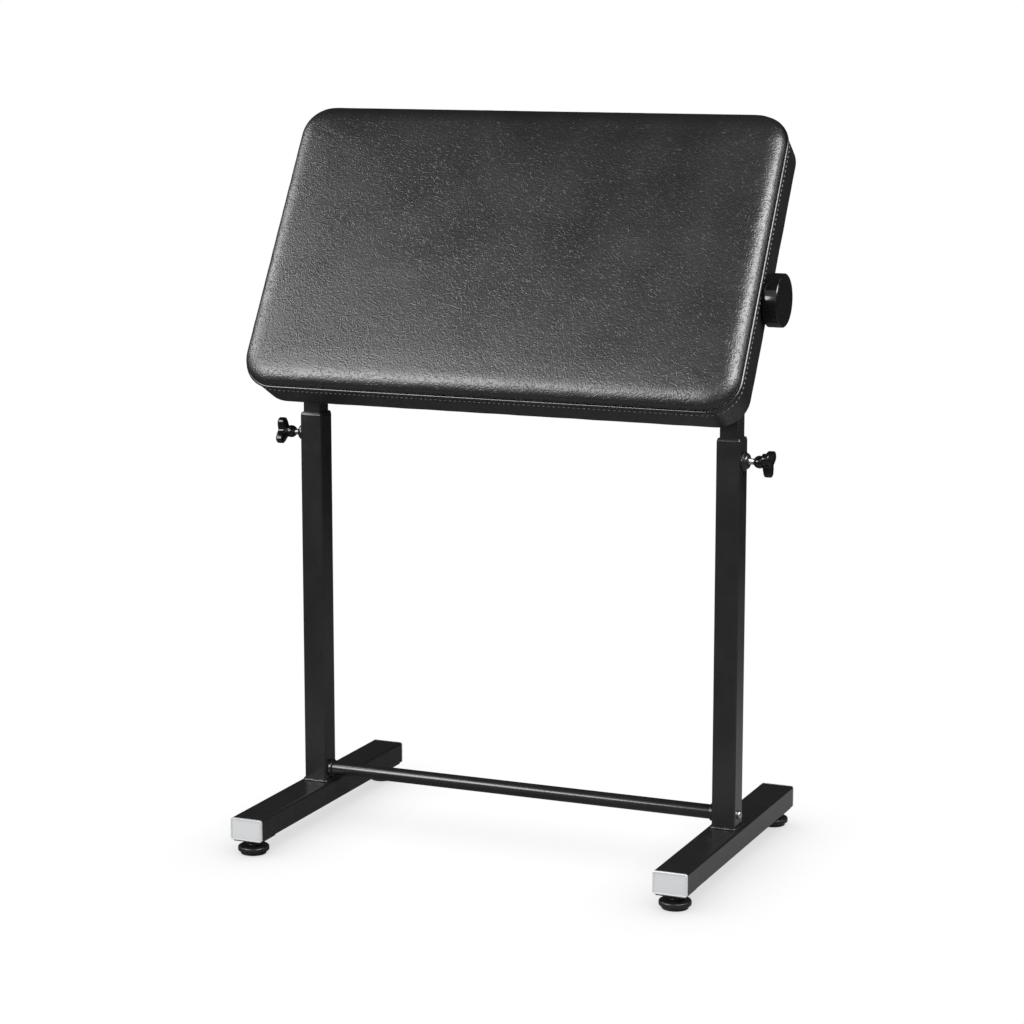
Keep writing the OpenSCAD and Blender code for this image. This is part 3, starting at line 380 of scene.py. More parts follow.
def ring_outline(half_w, half_d, corner, turn_steps, w_steps, d_steps):
    """A rectangle with round corners, anticlockwise from the start of its first corner, as the
    middles that its normals start from, the outward normals, and the place along it. The
    normal turns by a quarter over each corner and the middle moves along each straight."""
    knots = [
        np.concatenate([2 * c + np.arange(turn_steps) / turn_steps, 2 * c + 1 + np.arange(n) / n])
        for c, n in enumerate((w_steps, d_steps, w_steps, d_steps))
    ]
    knots = np.concatenate(knots)
    angle = np.interp(knots, range(9), [0, 1, 1, 2, 2, 3, 3, 4, 4]) * np.pi / 2
    x = np.interp(knots, range(9), [1, 1, -1, -1, -1, -1, 1, 1, 1]) * (half_w - corner)
    y = np.interp(knots, range(9), [1, 1, 1, 1, -1, -1, -1, -1, 1]) * (half_d - corner)
    middles = np.stack([x, y], axis=-1)
    normals = np.stack([np.cos(angle), np.sin(angle)], axis=-1)
    edge = middles + corner * normals
    step = np.linalg.norm(np.diff(edge, axis=0, append=edge[:1]), axis=1)
    return middles, normals, np.concatenate([[0], np.cumsum(step)])


def raised(flat, level):
    """Flat points with their level as Z."""
    return np.concatenate([flat, np.broadcast_to(level, flat.shape[:-1])[..., None]], axis=-1)


def threaded_rod(radius, pitch, depth, length, origin, direction, segments=28):
    """A screw thread: the radius falls from its crest by a triangle wave of the height in
    pitches less the angle in turns, and fades to the core at both ends."""
    rows_per_turn = 8
    rows = max(int(length / pitch * rows_per_turn), rows_per_turn)
    height = np.linspace(0, length, rows)[:, None]
    angles = np.linspace(0, 2 * np.pi, segments, endpoint=False)
    phase = (height / pitch - angles[None, :] / (2 * np.pi)) % 1.0
    wave = np.abs(2 * phase - 1)
    fade = np.clip(np.minimum(height, length - height) / pitch, 0, 1)
    around = radius - depth * (1 - wave * fade)
    flat = np.zeros((1, segments))
    radii = np.vstack([flat, around, flat])
    heights = np.vstack([height[:1], height, height[-1:]])
    return turned(radii, heights, angles, origin, direction)


def scattered(base, origins, axes):
    """Copies of a small grid of points, one at each origin in its own three axes."""
    return origins[:, None, None, :] + np.einsum("rck,nkj->nrcj", base, axes)


def soft_waves(u, v, lengths, seed):
    """A smooth uneven height from -1 to 1: a mean of sine waves in many directions, with
    wavelengths between the two given."""
    rng = np.random.default_rng(seed)
    total = np.zeros(np.broadcast(u, v).shape)
    count = 9
    for wavelength in np.geomspace(lengths[0], lengths[1], count):
        heading, phase = rng.uniform(0, 2 * np.pi, 2)
        total += np.sin(2 * np.pi * (u * np.cos(heading) + v * np.sin(heading)) / wavelength + phase)
    return total / math.sqrt(count * 2)


# The pad's own frame


def on_pad(points):
    """Points of the pad's frame, with the tilt axis as its X axis, Y up its slope from the
    pad's middle and Z square to the pad, brought into the stand's frame."""
    sizes = pad_sizes()
    x, y, z = np.moveaxis(np.asarray(points, float), -1, 0)
    y = y + sizes.shift
    cos, sin = math.cos(sizes.tilt), math.sin(sizes.tilt)
    pivot = JOINTS["pad_tilt"]["pos_m"]
    return np.stack([pivot[0] + x, pivot[1] + y * cos - z * sin, pivot[2] + y * sin + z * cos], axis=-1)


def pad_levels():
    """Heights above the tilt axis of the cloth, the board's two faces, the rim's lower face,
    the hem under it, the seam, and the edges of the leather above and below the piping."""
    sizes = pad_sizes()
    board = sizes.underside + sizes.cloth
    rim = board - sizes.rim_height
    hem = rim - sizes.leather
    seam = hem + sizes.side_height
    return SimpleNamespace(
        cloth=sizes.underside,
        board=board,
        board_top=board + sizes.board,
        rim=rim,
        hem=hem,
        seam=seam,
        panel=seam + sizes.piping / 2,
        band=seam - sizes.piping / 2,
    )


def cloth_inset():
    """From the pad's edge in to the cloth, which lies inside the rim."""
    sizes, gap = pad_sizes(), 0.6 * MM
    return sizes.side_draw + sizes.leather + sizes.rim_width + gap


def tucked(distance):
    """How far the leather draws in at the seam, from the distance to it: a parabola."""
    draw, reach = 1.5 * MM, 4 * MM
    return draw * (1 - np.clip(distance / reach, 0, 1)) ** 2


def pad_outline(spacing=3 * MM):
    """The pad's seam line with about the given spacing of points."""
    sizes = pad_sizes()
    width, depth, corner = sizes.width, sizes.depth, sizes.corner
    steps = [round(run / spacing) for run in (corner * np.pi / 2, width - 2 * corner, depth - 2 * corner)]
    return ring_outline(width / 2, depth / 2, corner, *steps)


def pad_rings(insets, levels, spacing=3 * MM):
    """Rings of points round the pad, one for each inset and level: the outline's middles plus
    its normals times the corner radius less the inset."""
    middles, normals, _ = pad_outline(spacing)
    insets, levels = (
        values if values.ndim == 2 else values[:, None] for values in map(np.asarray, (insets, levels))
    )
    return raised(middles + normals * (pad_sizes().corner - insets)[..., None], levels)


def roll_shares(turn):
    """Shares of the roll's width and height at a turn of it: a quarter superellipse."""
    power = 2 / pad_sizes().roll_power
    return 1 - np.clip(np.cos(turn), 0, 1) ** power, np.sin(turn) ** power


def dome(x, y):
    """The crown's share of its height: a parabola across the pad times one up it."""
    sizes = pad_sizes()
    return (1 - (2 * x / sizes.width) ** 2) * (1 - (2 * y / sizes.depth) ** 2)


def cover_grid(half_count, roll_count, level):
    """The pad's top as one square grid. Rings of the square lie on rounded rectangles: the
    outer ones step in over the roll on a superellipse, and the inner ones shrink to the
    middle. Returns the points and each one's ring, from 0 in the middle."""
    sizes = pad_sizes()
    half_w, half_d, corner = sizes.width / 2, sizes.depth / 2, sizes.corner
    steps = np.arange(-half_count, half_count + 1)
    i, j = np.meshgrid(steps, steps, indexing="ij")
    swap = np.abs(j) > np.abs(i)
    main, other = np.where(swap, j, i), np.where(swap, i, j)
    ring = np.abs(main)
    half_main = np.where(swap, half_d, half_w)
    half_other = np.where(swap, half_w, half_d)
    side = half_other - corner + corner * np.pi / 4
    place = np.abs(other) / np.maximum(ring, 1) * side
    straight = np.minimum(place, half_other - corner)
    angle = np.maximum(place - straight, 0) / corner
    inner = half_count - roll_count
    turn = np.clip((half_count - ring) / roll_count, 0, 1) * np.pi / 2
    in_share, up_share = roll_shares(turn)
    inset = sizes.roll_width * in_share + tucked(sizes.roll_height * up_share)
    shrink = np.minimum(ring / inner, 1)
    reach = corner - inset
    along_main = np.sign(main) * shrink * (half_main - corner + reach * np.cos(angle))
    along_other = np.sign(other) * shrink * (straight + reach * np.sin(angle))
    x, y = np.where(swap, along_other, along_main), np.where(swap, along_main, along_other)
    height = sizes.roll_height * up_share + sizes.crown * dome(x, y)
    return np.stack([x, y, level + height], axis=-1), ring


def swell_cover(obj, rim, roll):
    """Blows the cover up as cloth under pressure, with its rim held and its roll borne by the
    foam. A point's move is eased towards the most that it may be by a hyperbolic tangent."""
    scene, sizes = bpy.context.scene, pad_sizes()
    before = np.empty(len(obj.data.vertices) * 3)
    obj.data.vertices.foreach_get("co", before)
    group = obj.vertex_groups.new(name="rim")
    held_roll, held_rim, frames = 0.3, 1.0, 20
    group.add(roll.tolist(), held_roll, "REPLACE")
    group.add(rim.tolist(), held_rim, "REPLACE")
    cloth = obj.modifiers.new("Pressure", "CLOTH")
    settings = {
        "quality": 5,
        "mass": 0.3,
        "tension_stiffness": 60,
        "compression_stiffness": 60,
        "shear_stiffness": 30,
        "bending_stiffness": 5,
        "use_pressure": True,
        "uniform_pressure_force": sizes.pressure,
        "vertex_group_mass": group.name,
    }
    for key, value in settings.items():
        setattr(cloth.settings, key, value)
    cloth.settings.effector_weights.gravity = 0
    for frame in range(1, frames + 1):
        scene.frame_set(frame)
    evaluated = obj.evaluated_get(bpy.context.evaluated_depsgraph_get())
    after = np.empty_like(before)
    evaluated.data.vertices.foreach_get("co", after)
    obj.modifiers.remove(cloth)
    obj.vertex_groups.remove(group)
    scene.frame_set(1)
    moved = (after - before).reshape(-1, 3)
    length = np.maximum(np.linalg.norm(moved, axis=1, keepdims=True), 1e-9)
    moved *= sizes.swell * np.tanh(length / sizes.swell) / length
    obj.data.vertices.foreach_set("co", before + moved.reshape(-1))
    obj.data.update()


# Node trees


def feed(tree, socket, value):
    """Links an output to a socket, or sets the socket's own value."""
    if isinstance(value, bpy.types.NodeSocket):
        tree.links.new(value, socket)
    else:
        socket.default_value = value


def add_node(tree, kind, inputs=None, **settings):
    """A node with its settings, and its inputs fed by name or number."""
    node = tree.nodes.new(f"ShaderNode{kind}")
    for key, value in settings.items():
        setattr(node, key, value)
    for key, value in (inputs or {}).items():
        feed(tree, node.inputs[key], value)
    return node


def calc(tree, operation, *values):
    """A Math node's result."""
    return add_node(tree, "Math", dict(enumerate(values)), operation=operation).outputs[0]


def noise(tree, vector, scale, detail=2.0, roughness=0.5, distortion=0.0):
    """A noise texture's value."""
    inputs = {"Vector": vector, "Scale": scale, "Detail": detail}
    inputs.update(Roughness=roughness, Distortion=distortion)
    return add_node(tree, "TexNoise", inputs).outputs[0]


def remap(tree, value, low, high, new_low, new_high):
    """A value brought from one range to another, and kept inside it."""
    inputs = {0: value, 1: low, 2: high, 3: new_low, 4: new_high}
    return add_node(tree, "MapRange", inputs).outputs[0]


def blend_colours(tree, factor, first, second):
    """A mix of two colours."""
    node = add_node(tree, "Mix", data_type="RGBA")
    for index, value in ((0, factor), (6, first), (7, second)):
        feed(tree, node.inputs[index], value)
    return node.outputs[2]


def darker(colour, share):
    """A colour scaled in brightness."""
    return (*(channel * share for channel in colour[:3]), 1.0)


def bump(tree, height, depth, normal=None):
    """A bump from a height, with the relief's depth in metres. A negative one sinks it in."""
    inputs = {"Height": height, "Distance": abs(depth), "Strength": 1.0}
    if normal is not None:
        inputs["Normal"] = normal
    return add_node(tree, "Bump", inputs, invert=depth < 0).outputs[0]


def object_point(tree):
    """Object coordinates, which are the stand's own."""
    return add_node(tree, "TexCoord").outputs["Object"]


def pad_point(tree):
    """Object coordinates turned into the pad's frame."""
    pivot = JOINTS["pad_tilt"]["pos_m"]
    inputs = {"Vector": object_point(tree), "Location": pivot, "Rotation": (pad_sizes().tilt, 0, 0)}
    return add_node(tree, "Mapping", inputs, vector_type="TEXTURE").outputs[0]


def stretched(tree, vector, scale):
    """A vector scaled along each axis."""
    return add_node(tree, "Mapping", {"Vector": vector, "Scale": scale}).outputs[0]


def shader_group(name, inputs, outputs, build):
    """A node group with named sockets, made once. build gets its tree and its inputs, and
    returns the values of its outputs."""
    tree = bpy.data.node_groups.get(name)
    if tree is None:
        tree = bpy.data.node_groups.new(name, "ShaderNodeTree")
        for label, kind in inputs:
            tree.interface.new_socket(name=label, in_out="INPUT", socket_type=f"NodeSocket{kind}")
        for label, kind in outputs:
            tree.interface.new_socket(name=label, in_out="OUTPUT", socket_type=f"NodeSocket{kind}")
        entry = tree.nodes.new("NodeGroupInput")
        leave = tree.nodes.new("NodeGroupOutput")
        results = build(tree, {label: entry.outputs[label] for label, _ in inputs})
        for (label, _), value in zip(outputs, results):
            tree.links.new(value, leave.inputs[label])
    return tree


def use_group(tree, group, inputs):
    """A placed copy of a node group, with its inputs fed."""
    node = tree.nodes.new("ShaderNodeGroup")
    node.node_tree = group
    for key, value in inputs.items():
        feed(tree, node.inputs[key], value)
    return node.outputs


def wrinkle_group():
    """Leather wrinkles: contour lines of a smooth noise, as the sine of a multiple of it, which
    swirl and run side by side. A second noise fades them in and out."""

    def build(tree, entry):
        contours = 5
        smooth = noise(tree, entry["Vector"], entry["Scale"], 1.0)
        lines = calc(tree, "SINE", calc(tree, "MULTIPLY", smooth, 2 * math.pi * contours))
        faded = noise(tree, entry["Vector"], calc(tree, "MULTIPLY", entry["Scale"], 1.8), 1.0)
        height = calc(tree, "MULTIPLY", lines, remap(tree, faded, 0.4, 0.6, 0.25, 1.0))
        return height, remap(tree, height, -0.2, -0.8, 0.0, 1.0)

    inputs = [("Vector", "Vector"), ("Scale", "Float")]
    return shader_group("Leather wrinkles", inputs, [("Height", "Float"), ("Crease", "Float")], build)


def pull_group():
    """Fine pull lines in stretched leather, square to the pad's edges: noise drawn out across
    each edge, shown only near it."""

    def build(tree, entry):
        split = add_node(tree, "SeparateXYZ", {0: entry["Vector"]})
        across = noise(tree, stretched(tree, entry["Vector"], (30, 520, 30)), 1.0, 1.0)
        up = noise(tree, stretched(tree, entry["Vector"], (520, 30, 30)), 1.0, 1.0)
        sizes = pad_sizes()
        start, end = 0.045, 0.012
        from_middle = calc(tree, "ABSOLUTE", calc(tree, "SUBTRACT", split.outputs[1], sizes.shift))
        near_x, near_y = (
            remap(tree, place, size / 2 - start, size / 2 - end, 0, 1)
            for place, size in (
                (calc(tree, "ABSOLUTE", split.outputs[0]), sizes.width),
                (from_middle, sizes.depth),
            )
        )
        lines_x = calc(tree, "MULTIPLY", across, near_x)
        only_y = calc(tree, "MULTIPLY", near_y, calc(tree, "SUBTRACT", 1.0, near_x))
        lines_y = calc(tree, "MULTIPLY", up, only_y)
        return (calc(tree, "ADD", lines_x, lines_y),)

    return shader_group("Leather pull lines", [("Vector", "Vector")], [("Height", "Float")], build)


def fine_grain_group():
    """Orange peel and slow unevenness of a coated or moulded surface: a fine noise as height
    and a slow one as a mask."""

    def build(tree, entry):
        peel = noise(tree, entry["Vector"], entry["Scale"], 2.0, 0.55)
        slow = noise(tree, entry["Vector"], calc(tree, "MULTIPLY", entry["Scale"], 0.03), 3.0, 0.6)
        return peel, remap(tree, slow, 0.3, 0.7, 0.0, 1.0)

    inputs = [("Vector", "Vector"), ("Scale", "Float")]
    return shader_group("Fine grain", inputs, [("Height", "Float"), ("Uneven", "Float")], build)


def handling_group():
    """Faint dust and rub marks: soft specks where two noises meet."""

    def build(tree, entry):
        specks = noise(tree, entry["Vector"], entry["Scale"], 4.0, 0.65)
        patches = noise(tree, entry["Vector"], calc(tree, "MULTIPLY", entry["Scale"], 0.08), 2.0)
        specks, patches = remap(tree, specks, 0.52, 0.75, 0, 1), remap(tree, patches, 0.4, 0.7, 0, 1)
        both = calc(tree, "MULTIPLY", specks, patches)
        return (calc(tree, "MULTIPLY", both, entry["Amount"]),)

    inputs = [("Vector", "Vector"), ("Scale", "Float"), ("Amount", "Float")]
    return shader_group("Handling marks", inputs, [("Mask", "Float")], build)


# Materials, one for each slot


def new_material(name):
    """An empty material with a Principled shader, given as (material, tree, shader)."""
    material = bpy.data.materials.new(name)
    material.use_nodes = True
    tree = material.node_tree
    shader = next(node for node in tree.nodes if node.type == "BSDF_PRINCIPLED")
    return material, tree, shader


def new_finish(name, colour_name, place):
    """An empty material, given as its tree, its shader, a point on it from place, the colour
    of its finish, and itself."""
    material, tree, shader = new_material(name)
    return tree, shader, place(tree), finish_colour(colour_name), material


def dress_shader(tree, shader, colour, roughness, normal=None, **constants):
    """Feeds colour, roughness and normal, and sets the other inputs to plain values."""
    feed(tree, shader.inputs["Base Color"], colour)
    feed(tree, shader.inputs["Roughness"], roughness)
    if normal is not None:
        feed(tree, shader.inputs["Normal"], normal)
    for key, value in constants.items():
        shader.inputs[key.replace("_", " ")].default_value = value


def leather_material(name, roughness, relief, specular, scale):
    """Black leather: wrinkles and pull lines as relief, with painted shade darkening the creases, which are
    also duller.
    """
    tree, shader, point, base, material = new_finish(name, "leather", pad_point)
    wrinkles = use_group(tree, wrinkle_group(), {"Vector": point, "Scale": scale})
    pulls = use_group(tree, pull_group(), {"Vector": point})
    marks = use_group(tree, handling_group(), {"Vector": point, "Scale": 300.0, "Amount": 0.3})
    # Painted shade: the colour is darkened in the creases and lightened a little outside them.
    colour = blend_colours(tree, wrinkles["Crease"], darker(base, 1.15), darker(base, 0.6))
    colour = blend_colours(tree, marks["Mask"], colour, darker(base, 2.2))
    uneven = noise(tree, point, 14.0, 3.0)
    rough = remap(tree, uneven, 0.3, 0.7, roughness - 0.03, roughness + 0.05)
    rough = calc(tree, "MULTIPLY_ADD", wrinkles["Crease"], 0.06, rough)
    normal = bump(tree, wrinkles["Height"], relief)
    normal = bump(tree, pulls["Height"], relief, normal)
    dress_shader(tree, shader, colour, rough, normal, Specular_IOR_Level=specular)
    return material


def coated_material(name, colour_name, roughness, relief, specular, scale=900.0):
    """A powder coat or a moulded plastic: orange peel relief and a slightly uneven gloss."""
    tree, shader, point, base, material = new_finish(name, colour_name, object_point)
    grain = use_group(tree, fine_grain_group(), {"Vector": point, "Scale": scale})
    marks = use_group(tree, handling_group(), {"Vector": point, "Scale": 420.0, "Amount": 0.25})
    colour = blend_colours(tree, grain["Uneven"], darker(base, 0.9), darker(base, 1.1))
    colour = blend_colours(tree, marks["Mask"], colour, darker(base, 2.5))
    rough = remap(tree, grain["Uneven"], 0, 1, roughness - 0.03, roughness + 0.03)
    rough = calc(tree, "MULTIPLY_ADD", marks["Mask"], 0.1, rough)
    normal = bump(tree, grain["Height"], relief)
    dress_shader(tree, shader, colour, rough, normal, Specular_IOR_Level=specular)
    return material


def plated_material(name):
    """Zinc plated steel: a mottled bright metal."""
    tree, shader, point, base, material = new_finish(name, "zinc", object_point)
    grain = use_group(tree, fine_grain_group(), {"Vector": point, "Scale": 1400.0})
    colour = blend_colours(tree, grain["Uneven"], darker(base, 0.8), base)
    rough = remap(tree, grain["Uneven"], 0, 1, 0.26, 0.4)
    normal = bump(tree, grain["Height"], 0.01 * MM)
    dress_shader(tree, shader, colour, rough, normal, Metallic=1.0)
    return material


def silver_material(name):
    """Silver lacquered plastic: fine flakes in a light grey."""
    tree, shader, point, base, material = new_finish(name, "silver", object_point)
    flakes = remap(tree, noise(tree, point, 2600.0, 1.0), 0.35, 0.65, 0, 1)
    grain = use_group(tree, fine_grain_group(), {"Vector": point, "Scale": 500.0})
    colour = blend_colours(tree, flakes, darker(base, 0.92), darker(base, 1.08))
    rough = remap(tree, grain["Uneven"], 0, 1, 0.3, 0.38)
    normal = bump(tree, grain["Height"], 0.01 * MM)
    dress_shader(tree, shader, colour, rough, normal, Metallic=0.35)
    return material


def plywood_material(name):
    """Birch plywood: grain drawn out along the board and thin plies through its edge."""
    tree, shader, point, base, material = new_finish(name, "plywood", pad_point)
    grain = noise(tree, stretched(tree, point, (12, 260, 40)), 1.0, 4.0, 0.6, 0.4)
    split, ply = add_node(tree, "SeparateXYZ", {0: point}), 2.6 * MM
    plies = calc(tree, "SINE", calc(tree, "MULTIPLY", split.outputs[2], 2 * math.pi / ply))
    colour = blend_colours(tree, remap(tree, grain, 0.35, 0.7, 0, 1), base, darker(base, 0.66))
    colour = blend_colours(tree, remap(tree, plies, -0.4, 0.9, 0, 0.35), colour, darker(base, 0.5))
    rough = remap(tree, grain, 0.3, 0.7, 0.55, 0.75)
    dress_shader(tree, shader, colour, rough, bump(tree, grain, 0.1 * MM))
    return material


def foam_material(name):
    """Open cell foam: small cells as relief, with painted shade darkening it where the relief sinks in."""
    tree, shader, point, base, material = new_finish(name, "foam", pad_point)
    cells = add_node(tree, "TexVoronoi", {"Vector": point, "Scale": 700.0}).outputs["Distance"]
    # Painted shade: the foam's colour is darker where its relief sinks in.
    pit_shade = remap(tree, cells, 0.15, 0.6, 0, 1)
    colour = blend_colours(tree, pit_shade, base, darker(base, 0.6))
    rough = remap(tree, cells, 0, 1, 0.8, 0.95)
    dress_shader(tree, shader, colour, rough, bump(tree, cells, -0.3 * MM))
    return material


def cloth_material(name):
    """Black nonwoven backing: short fibres and a fine diamond of bonded points."""
    tree, shader, point, base, material = new_finish(name, "leather", pad_point)
    fibres, other = (
        noise(tree, stretched(tree, point, scale), 1.0, 3.0, 0.6, 1.5)
        for scale in ((700, 160, 300), (160, 700, 300))
    )
    diagonal = {"Vector": point, "Rotation": (0, 0, math.radians(45))}
    diagonal = add_node(tree, "Mapping", diagonal).outputs[0]
    points = add_node(tree, "TexVoronoi", {"Vector": diagonal, "Scale": 420.0, "Randomness": 0.0})
    bonds = remap(tree, points.outputs["Distance"], 0.1, 0.3, 0, 1)
    height = calc(tree, "MULTIPLY_ADD", bonds, 0.5, calc(tree, "MAXIMUM", fibres, other))
    # Painted shade and highlight: the cloth is lighter where its relief is high and darker where it is low,
    # at the bonded points and between the fibres.
    colour = blend_colours(tree, remap(tree, height, 0.6, 1.2, 0, 1), base, darker(base, 2.4))
    rough = remap(tree, height, 0.5, 1.2, 0.95, 0.75)
    dress_shader(tree, shader, colour, rough, bump(tree, height, 0.12 * MM), Specular_IOR_Level=0.2)
    return material


def thread_material():
    """Twisted black thread: fine slanting plies as relief, with painted shade darkening the grooves between
    them.
    """
    tree, shader, point, base, material = new_finish("Sewing thread", "leather", pad_point)
    inputs = {"Vector": point, "Scale": 900.0, "Distortion": 1.0}
    plies = add_node(tree, "TexWave", inputs, bands_direction="DIAGONAL").outputs[1]
    # Painted shade: the colour is darker in the grooves between the plies, where the relief is low.
    colour = blend_colours(tree, plies, darker(base, 8.0), darker(base, 20.0))
    rough = remap(tree, plies, 0, 1, 0.28, 0.4)
    dress_shader(tree, shader, colour, rough, bump(tree, plies, 0.05 * MM), Specular_IOR_Level=0.5)
    return material


MATERIAL_MAKERS = {
    "powder_black": lambda: coated_material("Powder coat", "powder", 0.22, 0.008 * MM, 0.4),
    "silver_cap": lambda: silver_material("Silver lacquer"),
    "nylon_black": lambda: coated_material("Black nylon", "nylon", 0.3, 0.01 * MM, 0.35, 1300.0),
    "gloss_black": lambda: coated_material("Glossy black plastic", "gloss", 0.13, 0.002 * MM, 0.35, 500.0),
    "sole_rubber": lambda: coated_material("Black rubber", "nylon", 0.62, 0.03 * MM, 0.3, 1600.0),
    "zinc_steel": lambda: plated_material("Zinc plated steel"),
    "pad_leather": lambda: leather_material("Black leather", 0.36, 0.1 * MM, 0.5, 140.0),
    "piping_leather": lambda: leather_material("Piping leather", 0.2, 0.02 * MM, 0.5, 180.0),
    "pad_foam": lambda: foam_material("Foam"),
    "board_plywood": lambda: plywood_material("Birch plywood"),
    "back_cloth": lambda: cloth_material("Backing cloth"),
}


def material_for(slot):
    """The material of a slot, made when it is first asked for."""
    made = bpy.context.scene.get("armrest_made", {})
    if slot not in made:
        made = dict(made)
        made[slot] = MATERIAL_MAKERS[slot]().name
        bpy.context.scene["armrest_made"] = made
    return bpy.data.materials[made[slot]]


# The pad's pieces


class ARMREST_OT_leather_top(bpy.types.Operator):
    """Makes the crowned leather cover, blown up a little over its foam"""

    bl_idname = "armrest.leather_top"
    bl_label = "Leather top"

    def execute(self, context):
        sizes = pad_sizes()
        half_count, roll_count = 50, 12
        points, ring = cover_grid(half_count, roll_count, pad_levels().panel)
        mesh = mesh_from_grids("pad_top_panel_leather", [points], SHEET)
        if mesh.vertices[points.shape[0] * points.shape[1] // 2].normal.z < 0:
            mesh.flip_normals()
        obj = place_piece(mesh, "pad_top_panel")
        ring = ring.reshape(-1)
        roll = np.flatnonzero(ring >= half_count - roll_count)
        swell_cover(obj, np.flatnonzero(ring == half_count), roll)
        flat, normals = np.empty((2, len(mesh.vertices) * 3))
        mesh.vertices.foreach_get("co", flat)
        mesh.vertices.foreach_get("normal", normals)
        local, normals = flat.reshape(-1, 3), normals.reshape(-1, 3)
        edge = np.clip((half_count - ring) / roll_count, 0, 1)
        relax = soft_waves(local[:, 0], local[:, 1], (0.05, 0.16), 7)
        gather = soft_waves(local[:, 0], local[:, 1], (0.014, 0.03), 3)
        relaxed, gathered = 0.1 * MM, 0.16 * MM
        lift = relaxed * relax * edge + gathered * gather * 4 * edge * (1 - edge)
        mesh.vertices.foreach_set("co", on_pad(local + normals * lift[:, None]).reshape(-1))
        mesh.update()
        solid = obj.modifiers.new("Leather", "SOLIDIFY")
        solid.thickness, solid.offset = sizes.leather, -1
        smooth = obj.modifiers.new("Smooth", "SUBSURF")
        smooth.levels = smooth.render_levels = 1
        return {"FINISHED"}


class ARMREST_OT_foam(bpy.types.Operator):
    """Makes the foam, crowned under the leather and wrapped round the board's edge"""

    bl_idname = "armrest.foam"
    bl_label = "Foam"

    def execute(self, context):
        sizes, levels = pad_sizes(), pad_levels()
        gap, spacing, ease = 0.3 * MM, 6 * MM, 0.1 * sizes.side_height
        thin = sizes.leather + gap
        seam_inset = sizes.piping_inset + sizes.piping / 2 + gap
        side_inset = sizes.side_draw + sizes.leather + gap
        wall_inset = sizes.side_draw + sizes.side_round
        in_share, up_share = roll_shares(np.linspace(0, np.pi / 2, 12))
        insets = thin + (sizes.roll_width - thin) * in_share + tucked(sizes.roll_height * up_share)
        rings = pad_rings(insets, levels.panel + (sizes.roll_height - thin) * up_share, spacing)
        shrink = np.linspace(1, 0, 10)[1:, None, None]
        inner = rings[-1:] * np.concatenate([shrink, shrink, np.ones_like(shrink)], axis=-1)
        top = np.concatenate([rings, inner])
        top[..., 2] += sizes.crown * dome(top[..., 0], top[..., 1])
        below = pad_rings(
            [seam_inset, seam_inset, side_inset, side_inset, wall_inset, wall_inset],
            [levels.panel, levels.band, levels.band - ease, levels.board, levels.board, levels.board_top],
            spacing,
        )
        floor = below[-1:] * np.array([0, 0, 1])
        grid = np.concatenate([top[::-1], below, floor])
        foam = piece_for("pad_foam", [on_pad(grid)], "core", 40)
        return {"FINISHED"}


class ARMREST_OT_side_band(bpy.types.Operator):
    """Makes the leather round the pad's sides, drawn in below the seam and turned under"""

    bl_idname = "armrest.side_band"
    bl_label = "Side band"

    def execute(self, context):
        sizes, pad = pad_sizes(), pad_levels()
        top, hem, turned_under = pad.band, pad.hem, sizes.side_draw + sizes.side_round
        rise = top - hem - sizes.side_round
        down = np.linspace(0, 1, 12)
        turn = np.linspace(0, np.pi / 2, 9)[1:]
        back = turn[::-1]
        bulge, ripple_height, slow_height, dimple = 0.7 * MM, 0.1 * MM, 0.12 * MM, 0.35 * MM
        ripple_length, ripple_reach, dimple_reach = 13 * MM, 7 * MM, 1.6 * MM
        puff = bulge * np.sin(down * np.pi)
        draw = sizes.side_draw * np.sin(down * np.pi / 2) + tucked(rise * down)
        outer_inset = np.concatenate([draw - puff, sizes.side_draw + sizes.side_round * (1 - np.cos(turn))])
        outer_level = np.concatenate([top - rise * down, hem + sizes.side_round * (1 - np.sin(turn))])
        inner_round = sizes.side_round - sizes.leather
        hem_inset, hem_level = [sizes.hem_width, sizes.hem_width], [hem, pad.rim]
        inner_inset = turned_under - inner_round * np.cos(back)
        inner_inset = np.concatenate([hem_inset, inner_inset, (sizes.leather + draw)[::-1]])
        inner_level = hem + sizes.side_round - inner_round * np.sin(back)
        inner_level = np.concatenate([hem_level, inner_level, (top - rise * down)[::-1]])
        place = pad_outline()[2]
        arc, total, rows = place[None, :-1], place[-1], len(outer_inset)
        depth_below = (top - outer_level)[:, None]
        near_seam = np.exp(-depth_below / ripple_reach)
        ripple = np.sin(2 * np.pi * np.round(total / ripple_length) * arc / total)
        slow = np.sin(2 * np.pi * 23 * arc / total + 1.0) + np.sin(2 * np.pi * 41 * arc / total)
        stitched = np.exp(-(((depth_below - sizes.stitch_drop + sizes.piping / 2) / dimple_reach) ** 2))
        lift = ripple_height * ripple * near_seam * np.minimum(depth_below / (2 * MM), 1)
        lift = lift + slow_height * slow * np.sin(np.pi * np.linspace(0, 1, rows))[:, None] ** 2
        lift = lift - dimple * stitched
        inner = np.repeat(inner_inset[:, None], arc.shape[1], axis=1)
        insets = np.concatenate([outer_inset[:, None] - lift, inner])
        levels = np.concatenate([outer_level, inner_level])
        band = piece_for("pad_side_band", [on_pad(pad_rings(insets, levels))], "leather", closed=RING)
        pivot = JOINTS["tilt_knob_turn"]["pos_m"]
        start = (sizes.width / 2 - sizes.hem_width, pivot[1], pivot[2])
        bore, depth = stand_sizes().hub_d / 2 + 1.5 * MM, 2 * sizes.hem_width
        drill(band, lathe([(0, 0), (bore, 0), (bore, depth), (0, depth)], start, (1, 0, 0)))
        return {"FINISHED"}


